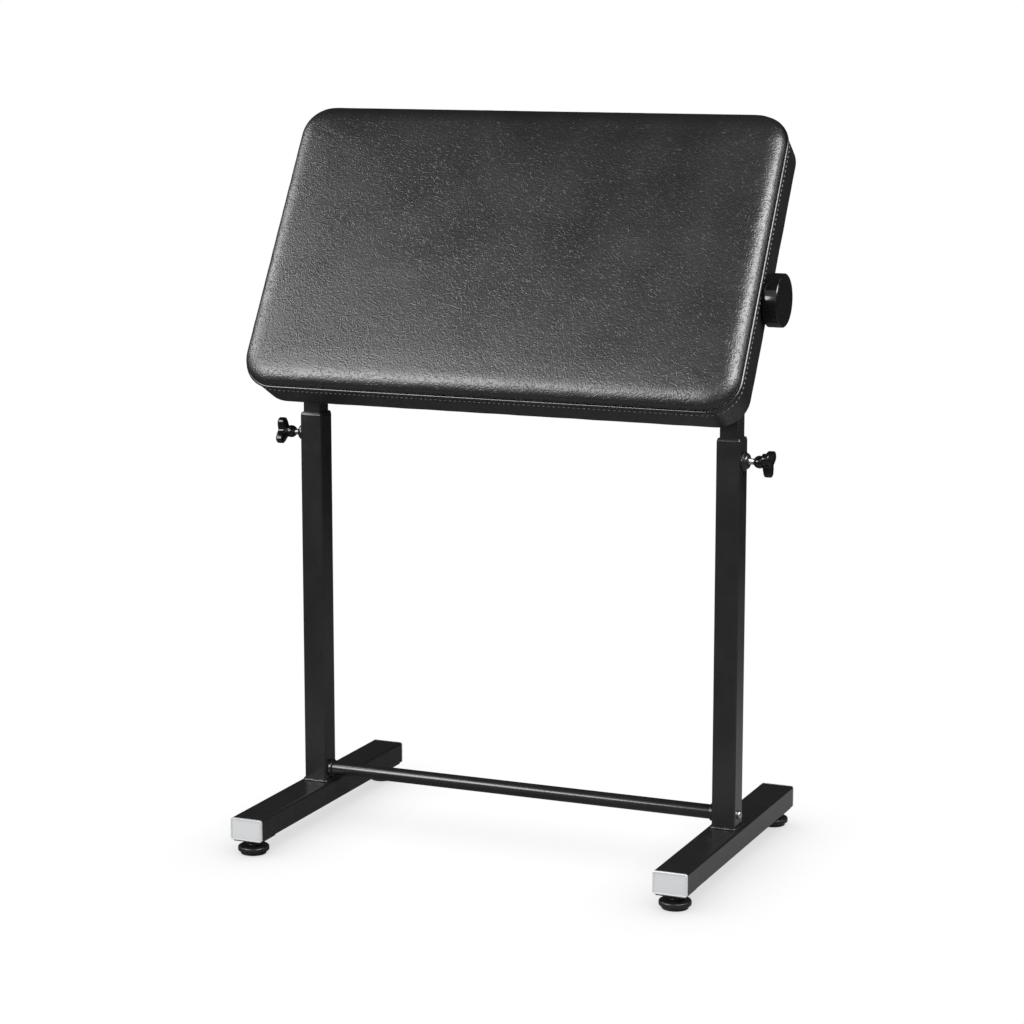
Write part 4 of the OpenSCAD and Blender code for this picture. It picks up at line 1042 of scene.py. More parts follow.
class ARMREST_OT_piping(bpy.types.Operator):
    """Makes the piping that is sewn into the seam"""

    bl_idname = "armrest.piping"
    bl_label = "Piping"

    def execute(self, context):
        sizes = pad_sizes()
        middles, normals, place = pad_outline(2.4 * MM)
        angles = np.linspace(0, 2 * np.pi, 16, endpoint=False)[:, None]
        arc, total = place[None, :-1], place[-1]
        swing, wave, proud = 0.05 * MM, 9 * MM, 0.4 * MM
        uneven = swing * np.sin(2 * np.pi * np.round(total / wave) * arc / total + angles)
        radius = sizes.piping / 2 - swing + uneven
        reach = sizes.corner - sizes.piping_inset + proud + radius * np.cos(angles)
        points = raised(middles + normals * reach[..., None], pad_levels().seam + radius * np.sin(angles))
        piece_for("pad_piping", [on_pad(points)], "leather", closed=RING)
        return {"FINISHED"}


class ARMREST_OT_stitches(bpy.types.Operator):
    """Makes the row of stitches in the band below the seam"""

    bl_idname = "armrest.stitches"
    bl_label = "Stitches"

    def execute(self, context):
        sizes, pad = pad_sizes(), pad_levels()
        middles, normals, place = pad_outline(1.5 * MM)
        total = place[-1]
        count = round(total / sizes.stitch_pitch)
        at = np.arange(count) * total / count
        normal, middle = (
            np.stack([np.interp(at, place[:-1], values[:, k], period=total) for k in (0, 1)], axis=-1)
            for values in (normals, middles)
        )
        normal /= np.linalg.norm(normal, axis=1, keepdims=True)
        down = sizes.stitch_drop - sizes.piping / 2
        rise = pad.band - pad.hem - sizes.side_round
        proud = 0.25 * MM
        inset = sizes.side_draw * math.sin(down / rise * math.pi / 2) - proud
        origins = raised(middle + normal * (sizes.corner - inset), pad.seam - sizes.stitch_drop)
        outward = raised(normal, 0.0)
        upward = np.broadcast_to([0.0, 0.0, 1.0], outward.shape)
        along = np.cross(upward, outward)
        lean = math.radians(7)
        along, upward = (
            along * math.cos(lean) + upward * math.sin(lean),
            upward * math.cos(lean) - along * math.sin(lean),
        )
        length, thick, lifted = 0.68 * sizes.stitch_pitch, 0.65 * MM, 0.3 * MM
        t = np.linspace(-1, 1, 7)[:, None]
        angles = np.linspace(0, 2 * np.pi, 6, endpoint=False)[None, :]
        fat = thick * np.sqrt(np.maximum(1 - t**4, 0))
        bow = lifted * (1 - t**2) - lifted
        base = (t * length / 2, fat * np.sin(angles), bow + fat * np.cos(angles))
        base = np.stack(np.broadcast_arrays(*base), axis=-1)
        copies = scattered(base, origins, np.stack([along, upward, outward], axis=1))
        mesh = mesh_from_grids("pad_seam_stitches", [on_pad(copy) for copy in copies])
        place_piece(mesh, "pad_piping", replaces=False)
        mesh.materials[0] = thread_material()
        return {"FINISHED"}


class ARMREST_OT_backing(bpy.types.Operator):
    """Makes the cloth under the pad, drawn tight between its staples, and the staples"""

    bl_idname = "armrest.backing"
    bl_label = "Backing cloth"

    def execute(self, context):
        sizes, cloth, inset = pad_sizes(), pad_levels().cloth, cloth_inset()
        half_w, half_d, corner = sizes.width / 2 - inset, sizes.depth / 2 - inset, sizes.corner - inset
        middles, normals, place = ring_outline(half_w, half_d, corner, 12, 60, 34)
        edge = middles + normals * corner
        shrink = np.linspace(1, 0, 26)[:, None, None]
        flat = edge[None] * shrink
        x, y = flat[..., 0], flat[..., 1]
        inward = np.minimum(half_w - np.abs(x), half_d - np.abs(y))
        edge_reach, pull_reach, pull_height = 14 * MM, 16 * MM, 0.12 * MM
        sag_depth, lowest = 0.25 * MM, -0.2 * MM
        tuck = np.clip(inward / edge_reach, 0, 1)
        sag = sag_depth * soft_waves(x, y, (0.05, 0.12), 11) * tuck
        pulls = pull_height * np.cos(2 * np.pi * place[None, :-1] / STAPLE_PITCH)
        pulls = pulls * np.exp(-inward / pull_reach) * tuck
        under = raised(flat, cloth + np.maximum(lowest, sag + pulls))
        both = np.concatenate([under[::-1], under + np.array([0, 0, 0.9 * sizes.cloth])])
        obj = piece_for("pad_back_cloth", [on_pad(both)], "sheet", 50)
        self.staples()
        return {"FINISHED"}

    def staples(self):
        """Staple crowns with rounded ends, in the rows that hold the hem and the cloth."""
        sizes, levels = pad_sizes(), pad_levels()
        length, wire = 10 * MM, 0.7 * MM
        runs = (sizes.width / 2 - sizes.corner, sizes.depth / 2 - sizes.corner)
        xs, ys = (np.linspace(-run, run, int(2 * run / STAPLE_PITCH) + 1) for run in runs)
        places = []
        rows = ((0.75 * sizes.hem_width, levels.hem), (cloth_inset() + length / 2, levels.cloth))
        for inset, level in rows:
            half_w, half_d, level = sizes.width / 2 - inset, sizes.depth / 2 - inset, level - wire / 2
            places += [(x, y, level, 0.0) for y in (-half_d, half_d) for x in xs]
            places += [(x, y, level, 1.0) for x in (-half_w, half_w) for y in ys]
        places = np.array(places)
        origins, quarter = places[:, :3], places[:, 3:]
        along = np.concatenate([1 - quarter, quarter, 0 * quarter], axis=-1)
        square = np.concatenate([-quarter, 1 - quarter, 0 * quarter], axis=-1)
        upward = np.broadcast_to([0.0, 0.0, 1.0], along.shape)
        t = np.array([-1, -1, -0.96, 0.96, 1, 1])[:, None]
        fat = np.array([0, 0.8, 1, 1, 0.8, 0])[:, None] * wire / 2
        angles = np.radians([45, 135, 225, 315])[None, :]
        base = (t * length / 2, 1.3 * fat * np.cos(angles), 1.3 * fat * np.sin(angles))
        base = np.stack(np.broadcast_arrays(*base), axis=-1)
        copies = scattered(base, origins, np.stack([along, square, upward], axis=1))
        piece_for("back_staples", [on_pad(copy) for copy in copies], "wire", 30)


# The stand's pieces


class ARMREST_OT_tubes(bpy.types.Operator):
    """Softens the edges of the tubes, plates, heads, brackets and fasteners"""

    bl_idname = "armrest.tubes"
    bl_label = "Tubes and plates"

    def execute(self, context):
        edge = stand_sizes().edge
        for side in SIDES:
            for part in ("leg", "column", "post", "pivot_head", "bracket"):
                dressed(f"{part}_{side}", edge)
            for end in ENDS:
                dressed(f"leg_cap_{end}_{side}", edge)
        turned_parts = ("friction_washers", "pivot_bolt", "pivot_nut", "pivot_washer", "tilt_nut")
        for node in ("pad_rim", "foot_plates", *turned_parts):
            dressed(node, edge)
        for node in ("foot_nuts", "cross_bar_plugs", "post_glides", "pivot_sleeves", "pad_board", "tee_nuts"):
            finish_node(node)
        return {"FINISHED"}


class ARMREST_OT_welds(bpy.types.Operator):
    """Makes the weld beads round the feet of the columns"""

    bl_idname = "armrest.welds"
    bl_label = "Weld beads"

    def execute(self, context):
        sizes, grids = stand_sizes(), []
        for number, side in enumerate(SIDES):
            column = f"column_{side}"
            middle, half, foot = node_middle(column), node_size(column).x / 2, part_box(column)[0].z
            middles, normals, place = ring_outline(half, half, sizes.column_corner, 10, 44, 44)
            arc, total = place[None, :-1], place[-1]
            around = 2 * np.pi * arc / total
            bead_length = 2.4 * MM
            beads = np.round(total / bead_length)
            wander = 0.25 * np.sin(5 * around + number) + 0.2 * np.sin(11 * around)
            phase = (beads * arc / total + wander) % 1.0
            scale = np.sqrt(1 - (1 - phase) ** 2)
            swell = 0.86 + 0.14 * scale + 0.1 * np.sin(7 * around + 2 * number)
            fall = np.linspace(0, np.pi / 2, 9)[:, None]
            inside, leg = -0.5 * MM + 0 * arc, sizes.weld * swell
            out = np.concatenate([inside, leg * np.sin(fall) ** 0.8, inside])
            up = np.concatenate([leg, leg * np.cos(fall) ** 0.8, 0 * arc])
            up[0] -= 0.1 * MM
            points = raised(middles + normals * (sizes.column_corner + out[..., None]), up)
            grids.append(points + np.array([middle.x, middle.y, foot]))
        piece_for("welds", grids, "bead", closed=RING)
        return {"FINISHED"}


class ARMREST_OT_bushes(bpy.types.Operator):
    """Makes the bushes that guide the posts, with a broad bevel round their bands"""

    bl_idname = "armrest.bushes"
    bl_label = "Bushes"

    def execute(self, context):
        sizes = stand_sizes()
        for side in SIDES:
            node = f"guide_bush_{side}"
            low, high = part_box(node)
            column_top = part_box(f"column_{side}")[1].z
            middle, half = node_middle(node), (high.x - low.x) / 2
            bore = half - node_size(f"post_{side}").x / 2 - 0.25 * MM
            skirt, gap = sizes.column_wall + 0.05 * MM, 0.35 * MM
            profile = [(bore, low.z), (skirt, low.z), (skirt, column_top + gap)]
            profile += [(0.15 * MM, column_top + gap), (0.0, column_top + 1.1 * MM)]
            profile += [(1.25 * MM, high.z - 0.35 * MM), (1.9 * MM, high.z), (bore, high.z)]
            profile = rounded_profile(profile, 0.3 * MM, 3)
            middles, normals, _ = ring_outline(half, half, sizes.column_corner, 10, 6, 6)
            inner = sizes.column_corner - profile[:, :1]
            reach = np.maximum(inner, 0.2 * MM)
            shift = np.minimum(inner - reach, 0)
            flat = middles + normals * reach[..., None] + np.sign(middles) * shift[..., None]
            points = raised(flat + np.array([middle.x, middle.y]), profile[:, 1:])
            piece_for(node, [points], "moulding", 40, RING)
        return {"FINISHED"}


class ARMREST_OT_cross_bar(bpy.types.Operator):
    """Makes the cross bar, its collars and the socket screws that hold it"""

    bl_idname = "armrest.cross_bar"
    bl_label = "Cross bar"

    def execute(self, context):
        sizes = stand_sizes()
        low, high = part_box("cross_bar")
        middle = (low + high) / 2
        radius, length = (high.z - low.z) / 2, high.x - low.x
        bore = radius - sizes.bar_wall
        start = (low.x, middle.y, middle.z)
        pipe = self.ring(radius, bore, length)
        pipe = lathe(rounded_profile(pipe, 0.3 * MM), start, (1, 0, 0), 72)[:-1]
        piece_for("cross_bar", [pipe], "pipe", closed=RING)
        low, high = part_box("cross_bar_collars")
        inner, outer, length = radius + 0.02 * MM, (high.z - low.z) / 2, 5 * MM
        ring = rounded_profile(self.ring(inner, outer, length)[::-1], 0.8 * MM)
        grids = [
            lathe(ring, (x, middle.y, middle.z), (direction, 0, 0), 56)[:-1]
            for x, direction in ((low.x, 1), (high.x, -1))
        ]
        piece_for("cross_bar_collars", grids, "turned", 40, RING)
        self.screws(middle)
        return {"FINISHED"}

    def ring(self, start, other, length):
        """The outline of a pipe's wall, from the middle of one face round to it again."""
        middle = (start, length / 2)
        return [middle, (start, length), (other, length), (other, 0), (start, 0), middle]

    def screws(self, middle):
        """Button heads with a hexagonal socket. The socket's radius is that of a hexagon: half
        its width over the cosine of the angle from the nearest flat."""
        low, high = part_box("cross_bar_screws")
        head_r, head_h = (high.z - low.z) / 2, 3.3 * MM
        shank_r, key, depth, engaged = 3 * MM, 2 * MM, 2 * MM, 18 * MM
        angles = np.linspace(0, 2 * np.pi, 72, endpoint=False)
        hexagon = key / np.cos((angles + np.pi / 6) % (np.pi / 3) - np.pi / 6)
        reach = (high.x - low.x) / 2 - head_h
        shank = reach - (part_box("cross_bar")[1].x - engaged)
        dome_turn = np.linspace(0.15, 1, 9) * np.pi / 2
        dome_r = 0.55 * head_r + 0.45 * head_r * np.cos(dome_turn)
        dome_h = 0.45 * head_h + 0.55 * head_h * np.sin(dome_turn)
        chamfer = 0.25 * MM
        inner = 0.55 * head_r - chamfer
        plain = np.array([0, shank_r, shank_r, head_r, head_r, *dome_r, inner])[:, None]
        socket = [hexagon[None] + 0.12 * MM, hexagon[None], hexagon[None], 0 * hexagon[None]]
        radii = np.concatenate([plain * np.ones_like(angles), *socket])
        heights = [-shank, -shank, 0, 0, 0.45 * head_h, *dome_h]
        heights += [head_h, head_h, head_h - 0.15 * MM, head_h - depth, head_h - depth]
        heights = np.array(heights)[:, None]
        grids = [
            turned(radii, heights, angles, (sign * reach, middle.y, middle.z), (sign, 0, 0))
            for sign in SIDES.values()
        ]
        piece_for("cross_bar_screws", grids, "turned", 35)


class ARMREST_OT_feet(bpy.types.Operator):
    """Makes the levelling feet, their rubber soles and their threaded studs"""

    bl_idname = "armrest.feet"
    bl_label = "Levelling feet"

    def execute(self, context):
        sizes = stand_sizes()
        for end in ENDS:
            for side in SIDES:
                self.foot(f"{end}_{side}", sizes.stud_d / 2)
        return {"FINISHED"}

    def foot(self, place, stud_r):
        node, sole, stud = f"foot_{place}", f"foot_sole_{place}", f"foot_stud_{place}"
        low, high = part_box(node)
        middle = (low + high) / 2
        foot_r, sole_r = (high.x - low.x) / 2, node_size(sole).x / 2
        neck_r, bore = 8.5 * MM, stud_r + 0.02 * MM
        stud_low, stud_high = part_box(stud)
        rim_top = 11 * MM
        origin = (middle.x, middle.y, 0)
        profile = [(0, stud_low.z), (bore, stud_low.z), (bore, high.z), (neck_r - 0.6 * MM, high.z)]
        profile += [(neck_r, high.z - 0.5 * MM), (neck_r + 0.4 * MM, rim_top + 0.9 * MM)]
        profile += [(neck_r + 2.4 * MM, rim_top + 0.3 * MM), (foot_r - 2.6 * MM, rim_top - 0.3 * MM)]
        profile += [(foot_r, rim_top - 1.6 * MM), (foot_r, low.z + 2 * MM)]
        profile += [(sole_r + 0.3 * MM, low.z), (0, low.z)]
        radii = np.array([0, 0, 0, 0.3, 0.4, 1.2, 1.2, 1.4, 1.8, 0.8, 0.3, 0]) * MM
        profile = rounded_profile(profile, radii, 5)
        piece_for(node, [lathe(profile, origin, (0, 0, 1), 72)], "moulding", 50)
        groove, tread = 0.5 * MM, [(0, low.z), (sole_r, low.z), (sole_r, 0.5 * MM), (sole_r - 0.4 * MM, 0)]
        for outer in (3 * MM, 8 * MM):
            outer = sole_r - outer
            tread += [(outer, 0), (outer - 0.4 * MM, groove), (outer - 1.6 * MM, groove), (outer - 2 * MM, 0)]
        tread = rounded_profile([*tread, (0, 0)], 0.2 * MM, 2)
        piece_for(sole, [lathe(tread, origin, (0, 0, 1), 56)], "tread", 40)
        length, start = stud_high.z - stud_low.z, (middle.x, middle.y, stud_low.z)
        grid = threaded_rod(stud_r, 1.5 * MM, stand_sizes().thread, length, start, (0, 0, 1))
        piece_for(stud, [grid], "thread")


class ARMREST_OT_clamps(bpy.types.Operator):
    """Makes the clamp bosses, the clamp screws and the lobed knobs"""

    bl_idname = "armrest.clamps"
    bl_label = "Clamps"

    def execute(self, context):
        for side, sign in SIDES.items():
            self.boss(f"clamp_boss_{side}", sign)
            self.screw(f"clamp_screw_{side}", sign)
            self.knob(f"clamp_knob_{side}", sign, {"left": 75, "right": -90}[side])
        return {"FINISHED"}

    def boss(self, node, sign):
        """A domed boss over a round foot, with a groove between them."""
        low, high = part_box(node)
        middle = (low + high) / 2
        foot_r, length = (high.z - low.z) / 2, high.x - low.x
        bore, nose = stand_sizes().clamp_d / 2 + 0.05 * MM, 6.5 * MM
        face = low.x if sign > 0 else high.x
        turn = np.linspace(0.05, 0.95, 7) * np.pi / 2
        dome_r = nose - 0.4 * MM + (foot_r - 1.6 * MM - nose) * np.cos(turn)
        dome_h = 3 * MM + (length - 3 * MM) * np.sin(turn)
        foot = [(bore, length / 2), (bore, 0), (foot_r, 0), (foot_r, 2.3 * MM)]
        foot += [(foot_r - 1.3 * MM, 2.9 * MM), (foot_r - 1.7 * MM, 2.6 * MM)]
        mouth = [(nose - 0.5 * MM, length), (bore + 0.4 * MM, length), (bore, length - 0.4 * MM)]
        foot, mouth = rounded_profile(foot, 0.5 * MM), rounded_profile(mouth, 0.1 * MM)
        profile = np.vstack([foot, np.column_stack([dome_r, dome_h]), mouth])
        grid = lathe(profile, (face, middle.y, middle.z), (sign, 0, 0), 64)
        piece_for(node, [grid], "turned", 50, RING)

    def screw(self, node, sign):
        low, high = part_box(node)
        middle = (low + high) / 2
        sizes = stand_sizes()
        start = (low.x if sign > 0 else high.x, middle.y, middle.z)
        length, pitch = high.x - low.x, 1.25 * MM
        grid = threaded_rod(sizes.clamp_d / 2, pitch, sizes.thread, length, start, (sign, 0, 0), 24)
        piece_for(node, [grid], "thread")

    def knob(self, node, sign, turn_degrees):
        """A ball, a neck and a lobed head. Every row has a valley radius and a share of the
        lobes' reach, and the lobes swell with a flattened cosine of the angle."""
        sizes = stand_sizes()
        low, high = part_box(node)
        centre = node_middle(f"clamp_screw_{'left' if sign < 0 else 'right'}")
        outer = high.x if sign > 0 else low.x
        head, ball_r = sizes.knob_head, sizes.knob_ball / 2
        bore = sizes.clamp_d / 2 + 0.02 * MM
        angles = np.linspace(0, 2 * np.pi, 120, endpoint=False)
        wave = (1 + np.cos(sizes.lobes * (angles - math.radians(turn_degrees)))) / 2
        swell = np.clip(1.12 * wave**1.25, 0, None)
        swell = swell / (1 + np.maximum(swell - 0.9, 0) * 0.6)
        swell /= swell.max()
        ball_turn = np.linspace(-0.9, 0.35, 9)
        ball_h = -head - ball_r / 2 + ball_r * np.sin(ball_turn)
        ball_rows = np.column_stack([ball_r * np.cos(ball_turn), ball_h, 0 * ball_turn])
        soft = np.linspace(0, np.pi / 2, 6)
        bevel, rim = 1.7 * MM, sizes.knob_valley
        under = np.array([[rim - 1.6 * MM, -head + 0.2 * MM, 0.0], [rim - 1.2 * MM, -head + 0.8 * MM, 0.12]])
        cone = np.array([[rim - 0.8 * MM, -head + 1.6 * MM, 0.45], [rim - 0.4 * MM, -head + 2.4 * MM, 0.8]])
        back_r, back_h = rim - 0.5 * bevel * (1 - np.sin(soft)), -head + 4.6 * MM - bevel * np.cos(soft)
        back_edge = np.column_stack([back_r, back_h, 0.93 + 0.07 * np.sin(soft)])
        front_r, front_h = rim - bevel * (1 - np.cos(soft)), -bevel + bevel * np.sin(soft)
        front_edge = np.column_stack([front_r, front_h, 1 - 0.12 * (1 - np.cos(soft))])
        rows = np.vstack([ball_rows, under, cone, back_edge, front_edge])
        reach = sizes.knob_lobe - rim
        radii = rows[:, :1] + rows[:, 2:] * reach * swell[None]
        heights = rows[:, 1:2]
        share = np.array([0.88, 0.7, 0.45, 0.2, 0.0])[:, None]
        dish = -0.9 * MM * (1 - share**2) * np.minimum(1, (1 - share) * 4)
        hub = np.array([(0, -head / 2), (bore, -head / 2), (bore, rows[0, 1])])
        radii = np.vstack([hub[:, :1] * np.ones_like(angles), radii, share * radii[-1:]])
        heights = np.vstack([hub[:, 1:], heights, dish])
        grid = turned(radii, heights, angles, (outer, centre.y, centre.z), (sign, 0, 0))
        piece_for(node, [grid], "moulding", 55)


class ARMREST_OT_tilt_knob(bpy.types.Operator):
    """Makes the tilt knob and its threaded stud"""

    bl_idname = "armrest.tilt_knob"
    bl_label = "Tilt knob"

    def execute(self, context):
        sizes = stand_sizes()
        low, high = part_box("tilt_knob")
        stud_low, stud_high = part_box("tilt_stud")
        pivot = JOINTS["tilt_knob_turn"]["pos_m"]
        start = (low.x, pivot[1], pivot[2])
        radius, length = (high.z - low.z) / 2, high.x - low.x
        hub_r, disc_t, bevel = sizes.hub_d / 2, high.x - pad_sizes().width / 2 - sizes.knob_gap, 1.2 * MM
        bore, depth = sizes.stud_d / 2 + 0.02 * MM, stud_high.x - low.x
        back = length - disc_t
        profile = [(0, depth), (bore, depth), (bore, 0), (hub_r, 0), (hub_r, back)]
        profile += [(radius - bevel - 0.6 * MM, back), (radius, back + bevel), (radius, length - bevel)]
        profile += [(radius - bevel, length), (0.6 * radius, length), (0, length)]
        radii = np.array([0, 0, 0.3, 0.6, 1.0, 0.3, 0.3, 0.3, 0.3, 0, 0]) * MM
        grid = lathe(rounded_profile(profile, radii), start, (1, 0, 0), 128)
        piece_for("tilt_knob", [grid], "moulding", 30)
        start, length = (stud_low.x, pivot[1], pivot[2]), stud_high.x - stud_low.x
        grid = threaded_rod(sizes.stud_d / 2, 1.5 * MM, sizes.thread, length, start, (1, 0, 0))
        piece_for("tilt_stud", [grid], "thread")
        return {"FINISHED"}


class ARMREST_OT_board_screws(bpy.types.Operator):
    """Makes the socket screws that hold the brackets to the board"""

    bl_idname = "armrest.board_screws"
    bl_label = "Board screws"

    def execute(self, context):
        sizes = pad_sizes()
        head_r, head_h, shank_r, plate, bracket = 6 * MM, 3.5 * MM, 3 * MM, 4 * MM, 46 * MM
        out, apart = node_size("bracket_screws").x / 2 - head_r, 0.33 * bracket
        length = pad_levels().board_top - sizes.underside + plate
        profile = [(0, length), (shank_r, length), (shank_r, 0), (head_r, 0), (head_r, -0.4 * head_h)]
        profile += [(0.8 * head_r, -0.86 * head_h), (0.45 * head_r, -head_h), (0.4 * head_r, -head_h)]
        profile += [(0.4 * head_r, -0.45 * head_h), (0, -0.45 * head_h)]
        radii = np.array([0, 0.3, 0.2, 0.4, 1.2, 1.5, 0.1, 0.1, 0.1, 0]) * MM
        screw = lathe(rounded_profile(profile, radii, 3), (0, 0, 0), (0, 0, 1), 36)
        grids = [
            on_pad(screw + np.array([sign * out, up - sizes.shift, sizes.underside - plate]))
            for sign in SIDES.values()
            for up in (-apart, apart)
        ]
        piece_for("bracket_screws", grids, "turned", 40)
        return {"FINISHED"}


# The stage


class ARMREST_OT_stage(bpy.types.Operator):
    """Makes the floor, the lamps, the world and the camera"""

    bl_idname = "armrest.stage"
    bl_label = "Stage"

    def execute(self, context):
        self.floor()
        self.world(context.scene)
        self.camera(context.scene)
        focus, side = Vector((0, 0, 0.6)), Vector((0.3, 0, 0.75))
        for name, *values in (
            ("Key softbox", (-1.467, -1.006, 1.714), focus, 1.8, 0.4, 18.0),
            ("Left softbox", (-1.73, -0.3, 1.5), focus, 0.9, 0.5, 13.0),
            ("Low softbox", (-0.91, -1.71, 1.08), focus, 1.3, 0.7, 56.0),
            ("Right softbox", (1.52, -0.64, 1.72), side, 1.6, 0.8, 86.0),
            ("Back right softbox", (1.78, 0.5, 1.05), side, 0.9, 0.6, 6.0),
        ):
            self.lamp(name, *values)
        for name, *values in (
            ("Front card", (-1.4, -1.7, 0.45), (2.2, 0, 0), (0, 0, 0.45), 0.02),
            ("Back card", (-0.4, 1.7, 1.3), (2.6, 0, 0), (0, 0, 1.3), 0.03),
            ("Top card", (-0.4, 0.4, 2.9), (2.6, 0, 0), (0, 2.4, 0), 0.02),
            ("Right card", (2.3, 0.9, 1.3), (0, 1.7, 0), (0, 0, 1.3), 0.03),
            ("Left card", (-2.7, 1.0, 1.3), (0, 1.4, 0), (0, 0, 1.3), 0.03),
        ):
            self.card(name, *values)
        context.scene.view_settings.view_transform = "Standard"
        return {"FINISHED"}

    def floor(self):
        """A wide white floor. It glows white for the camera and much less for reflections,
        most in a band before the stand and to its right, less the shade of what stands close
        over it. It is a plain pale surface for other light."""
        mesh = bpy.data.meshes.new("floor")
        obj = self.sheet(mesh, (0, 0, -0.1 * MM), (30, 0, 0), (0, 30, 0))
        material, tree, shader = new_material("Floor")
        dress_shader(tree, shader, (0.8, 0.8, 0.8, 1), 0.9, Specular_IOR_Level=0.1)
        shade = add_node(tree, "AmbientOcclusion", {"Distance": 0.1}, samples=8).outputs["AO"]
        soft = calc(tree, "MULTIPLY_ADD", calc(tree, "POWER", shade, 1.2), 0.4, 0.6)
        point = object_point(tree)
        split = add_node(tree, "SeparateXYZ", {0: point})
        away = add_node(tree, "VectorMath", {0: point}, operation="LENGTH").outputs["Value"]
        behind = remap(tree, split.outputs[1], -0.32, -0.2, 0.6, 0.0)
        front = calc(tree, "MINIMUM", behind, remap(tree, split.outputs[1], -0.55, -0.42, 0.0, 0.6))
        level = calc(tree, "MAXIMUM", front, remap(tree, split.outputs[0], 0.0, 0.42, 0.13, 0.45))
        level = calc(tree, "MULTIPLY", level, remap(tree, away, 0.5, 1.3, 1.0, 0.3))
        path = add_node(tree, "LightPath")
        plain = calc(tree, "MAXIMUM", path.outputs["Is Camera Ray"], path.outputs["Is Transmission Ray"])
        lit = calc(tree, "MAXIMUM", plain, level)
        strength = calc(tree, "MULTIPLY", soft, lit)
        glow = add_node(tree, "Emission", {"Color": (1, 1, 1, 1), "Strength": strength})
        seen = calc(tree, "MAXIMUM", plain, path.outputs["Is Glossy Ray"])
        mix = add_node(tree, "MixShader", {0: seen, 1: shader.outputs[0], 2: glow.outputs[0]})
        output = next(node for node in tree.nodes if node.type == "OUTPUT_MATERIAL")
        tree.links.new(mix.outputs[0], output.inputs["Surface"])
        mesh.materials.append(material)

    def sheet(self, mesh, middle, across, up):
        """A flat stage piece from its middle and its half width and half height as vectors."""
        signs = np.array([(-1, -1), (1, -1), (1, 1), (-1, 1)])
        corners = np.asarray(middle) + signs @ np.array([across, up])
        mesh.from_pydata(corners.tolist(), [], [(0, 1, 2, 3)])
        obj = new_object(mesh.name, mesh)
        obj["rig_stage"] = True
        return obj

    def card(self, name, middle, across, up, glow):
        """A dark card that only reflections see."""
        mesh = bpy.data.meshes.new(name.replace(" ", "_").lower())
        obj = self.sheet(mesh, middle, across, up)
        material, tree, shader = new_material(name)
        dress_shader(tree, shader, (0, 0, 0, 1), 1.0, Specular_IOR_Level=0.0, Emission_Strength=glow)
        shader.inputs["Emission Color"].default_value = (1, 1, 1, 1)
        mesh.materials.append(material)
        for ray in ("camera", "diffuse", "transmission", "volume_scatter", "shadow"):
            setattr(obj, f"visible_{ray}", False)

    def world(self, scene):
        """A white background for the camera and reflections, and a soft grey light."""
        world = bpy.data.worlds.new("Studio")
        world.use_nodes = True
        tree = world.node_tree
        background = next(node for node in tree.nodes if node.type == "BACKGROUND")
        path = add_node(tree, "LightPath")
        seen = calc(tree, "MAXIMUM", path.outputs["Is Camera Ray"], path.outputs["Is Glossy Ray"])
        seen = calc(tree, "MAXIMUM", seen, path.outputs["Is Transmission Ray"])
        background.inputs["Color"].default_value = (1, 1, 1, 1)
        feed(tree, background.inputs["Strength"], remap(tree, seen, 0, 1, 0.35, 1.0))
        scene.world = world

    def lamp(self, name, place, focus, width, height, power):
        """A rectangular softbox that looks at the focus and isn't seen by the camera."""
        data = bpy.data.lights.new(name, "AREA")
        data.shape = "RECTANGLE"
        data.size, data.size_y, data.energy = width, height, power
        obj = new_object(name, data)
        obj.location = place
        obj.rotation_mode = "QUATERNION"
        obj.rotation_quaternion = (focus - Vector(place)).to_track_quat("-Z", "Y")
        obj.visible_camera = False

    def camera(self, scene):
        """The photograph's view: a long lens from the front right, a little above."""
        azimuth, elevation = math.radians(23.006), math.radians(10.298)
        distance, target = 3.5177, Vector((-0.0064, -0.0028, 0.4193))
        level = distance * math.cos(elevation)
        back = Vector((level * math.sin(azimuth), -level * math.cos(azimuth), distance * math.sin(elevation)))
        data = bpy.data.cameras.new("Camera")
        data.sensor_width, data.lens = 36.0, 99.8
        obj = new_object("Camera", data)
        obj.location = target + back
        obj.rotation_mode = "QUATERNION"
        obj.rotation_quaternion = (-back).to_track_quat("-Z", "Y")
        scene.camera = obj


class ARMREST_PT_panel(bpy.types.Panel):
    """Lists the stand's pieces and sizes"""

    bl_idname = "ARMREST_PT_panel"
    bl_label = "Arm rest stand"
    bl_space_type = "VIEW_3D"
    bl_region_type = "UI"
    bl_category = "Arm Rest"

    def draw(self, context):
        for operator in OPERATORS:
            self.layout.operator(operator.bl_idname)
        for name in GROUPS:
            group = getattr(context.scene, name)
            for size in group.__annotations__:
                self.layout.prop(group, size)


OPERATORS = (
    ARMREST_OT_stage,
    ARMREST_OT_leather_top,
    ARMREST_OT_foam,
    ARMREST_OT_side_band,
    ARMREST_OT_piping,
    ARMREST_OT_stitches,
    ARMREST_OT_backing,
    ARMREST_OT_tubes,
    ARMREST_OT_welds,
    ARMREST_OT_bushes,
    ARMREST_OT_cross_bar,
    ARMREST_OT_feet,
    ARMREST_OT_clamps,
    ARMREST_OT_tilt_knob,
    ARMREST_OT_board_screws,
)
GROUPS = {
    "armrest_pad": ArmRestPadSizes,
    "armrest_stand": ArmRestStandSizes,
    "armrest_finishes": ArmRestFinishes,
}
CLASSES = (*GROUPS.values(), *OPERATORS, ARMREST_PT_panel)


def register():
    for cls in CLASSES:
        bpy.utils.register_class(cls)
    for name, group in GROUPS.items():
        setattr(bpy.types.Scene, name, PointerProperty(type=group))


def unregister():
    for name in GROUPS:
        delattr(bpy.types.Scene, name)
    for cls in reversed(CLASSES):
        bpy.utils.unregister_class(cls)


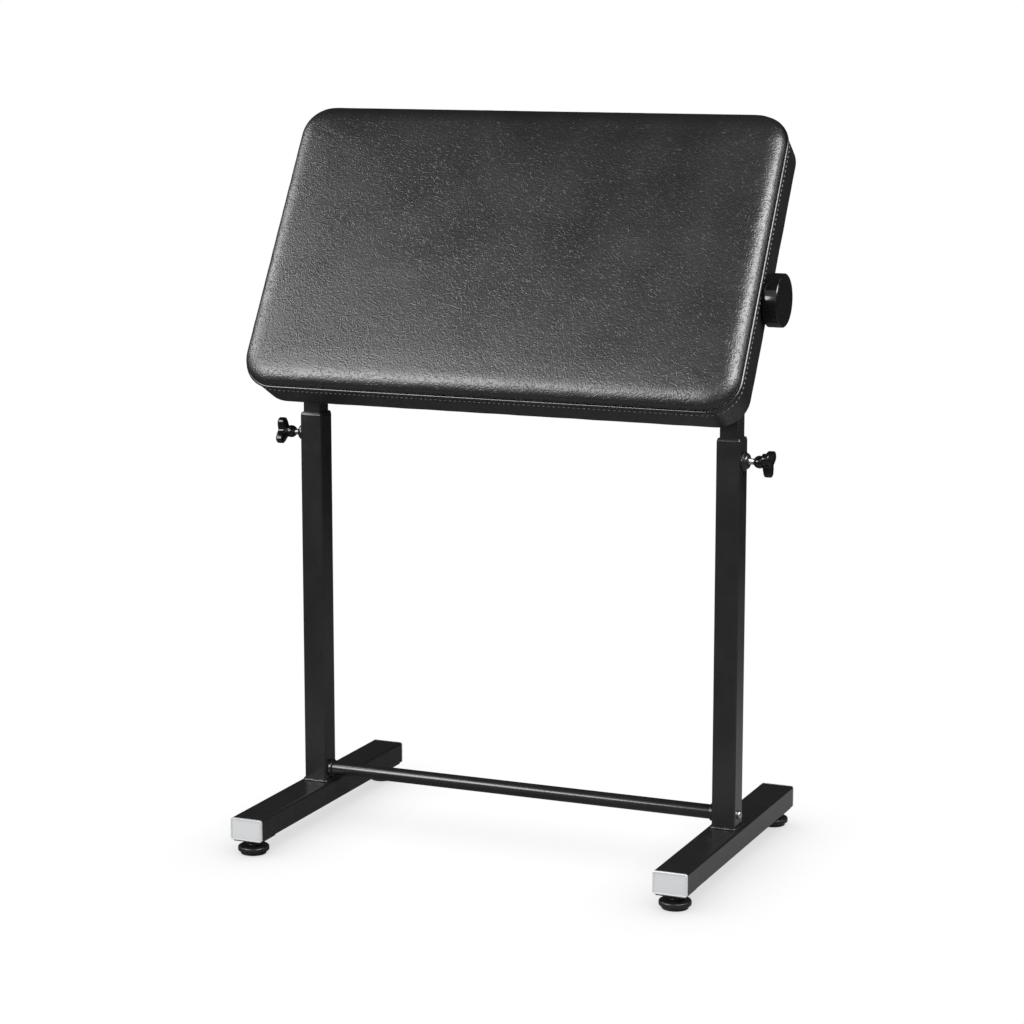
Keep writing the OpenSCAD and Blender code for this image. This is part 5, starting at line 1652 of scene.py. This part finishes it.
def main():
    """Builds every piece."""
    register()
    for operator in OPERATORS:
        getattr(bpy.ops.armrest, operator.bl_idname.split(".")[1])()
    boxes = {"cad": CAD_BOX, "visual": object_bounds()}
    boxes = {name: [list(corner) for corner in box] for name, box in boxes.items()}


if __name__ == "__main__":
    main()
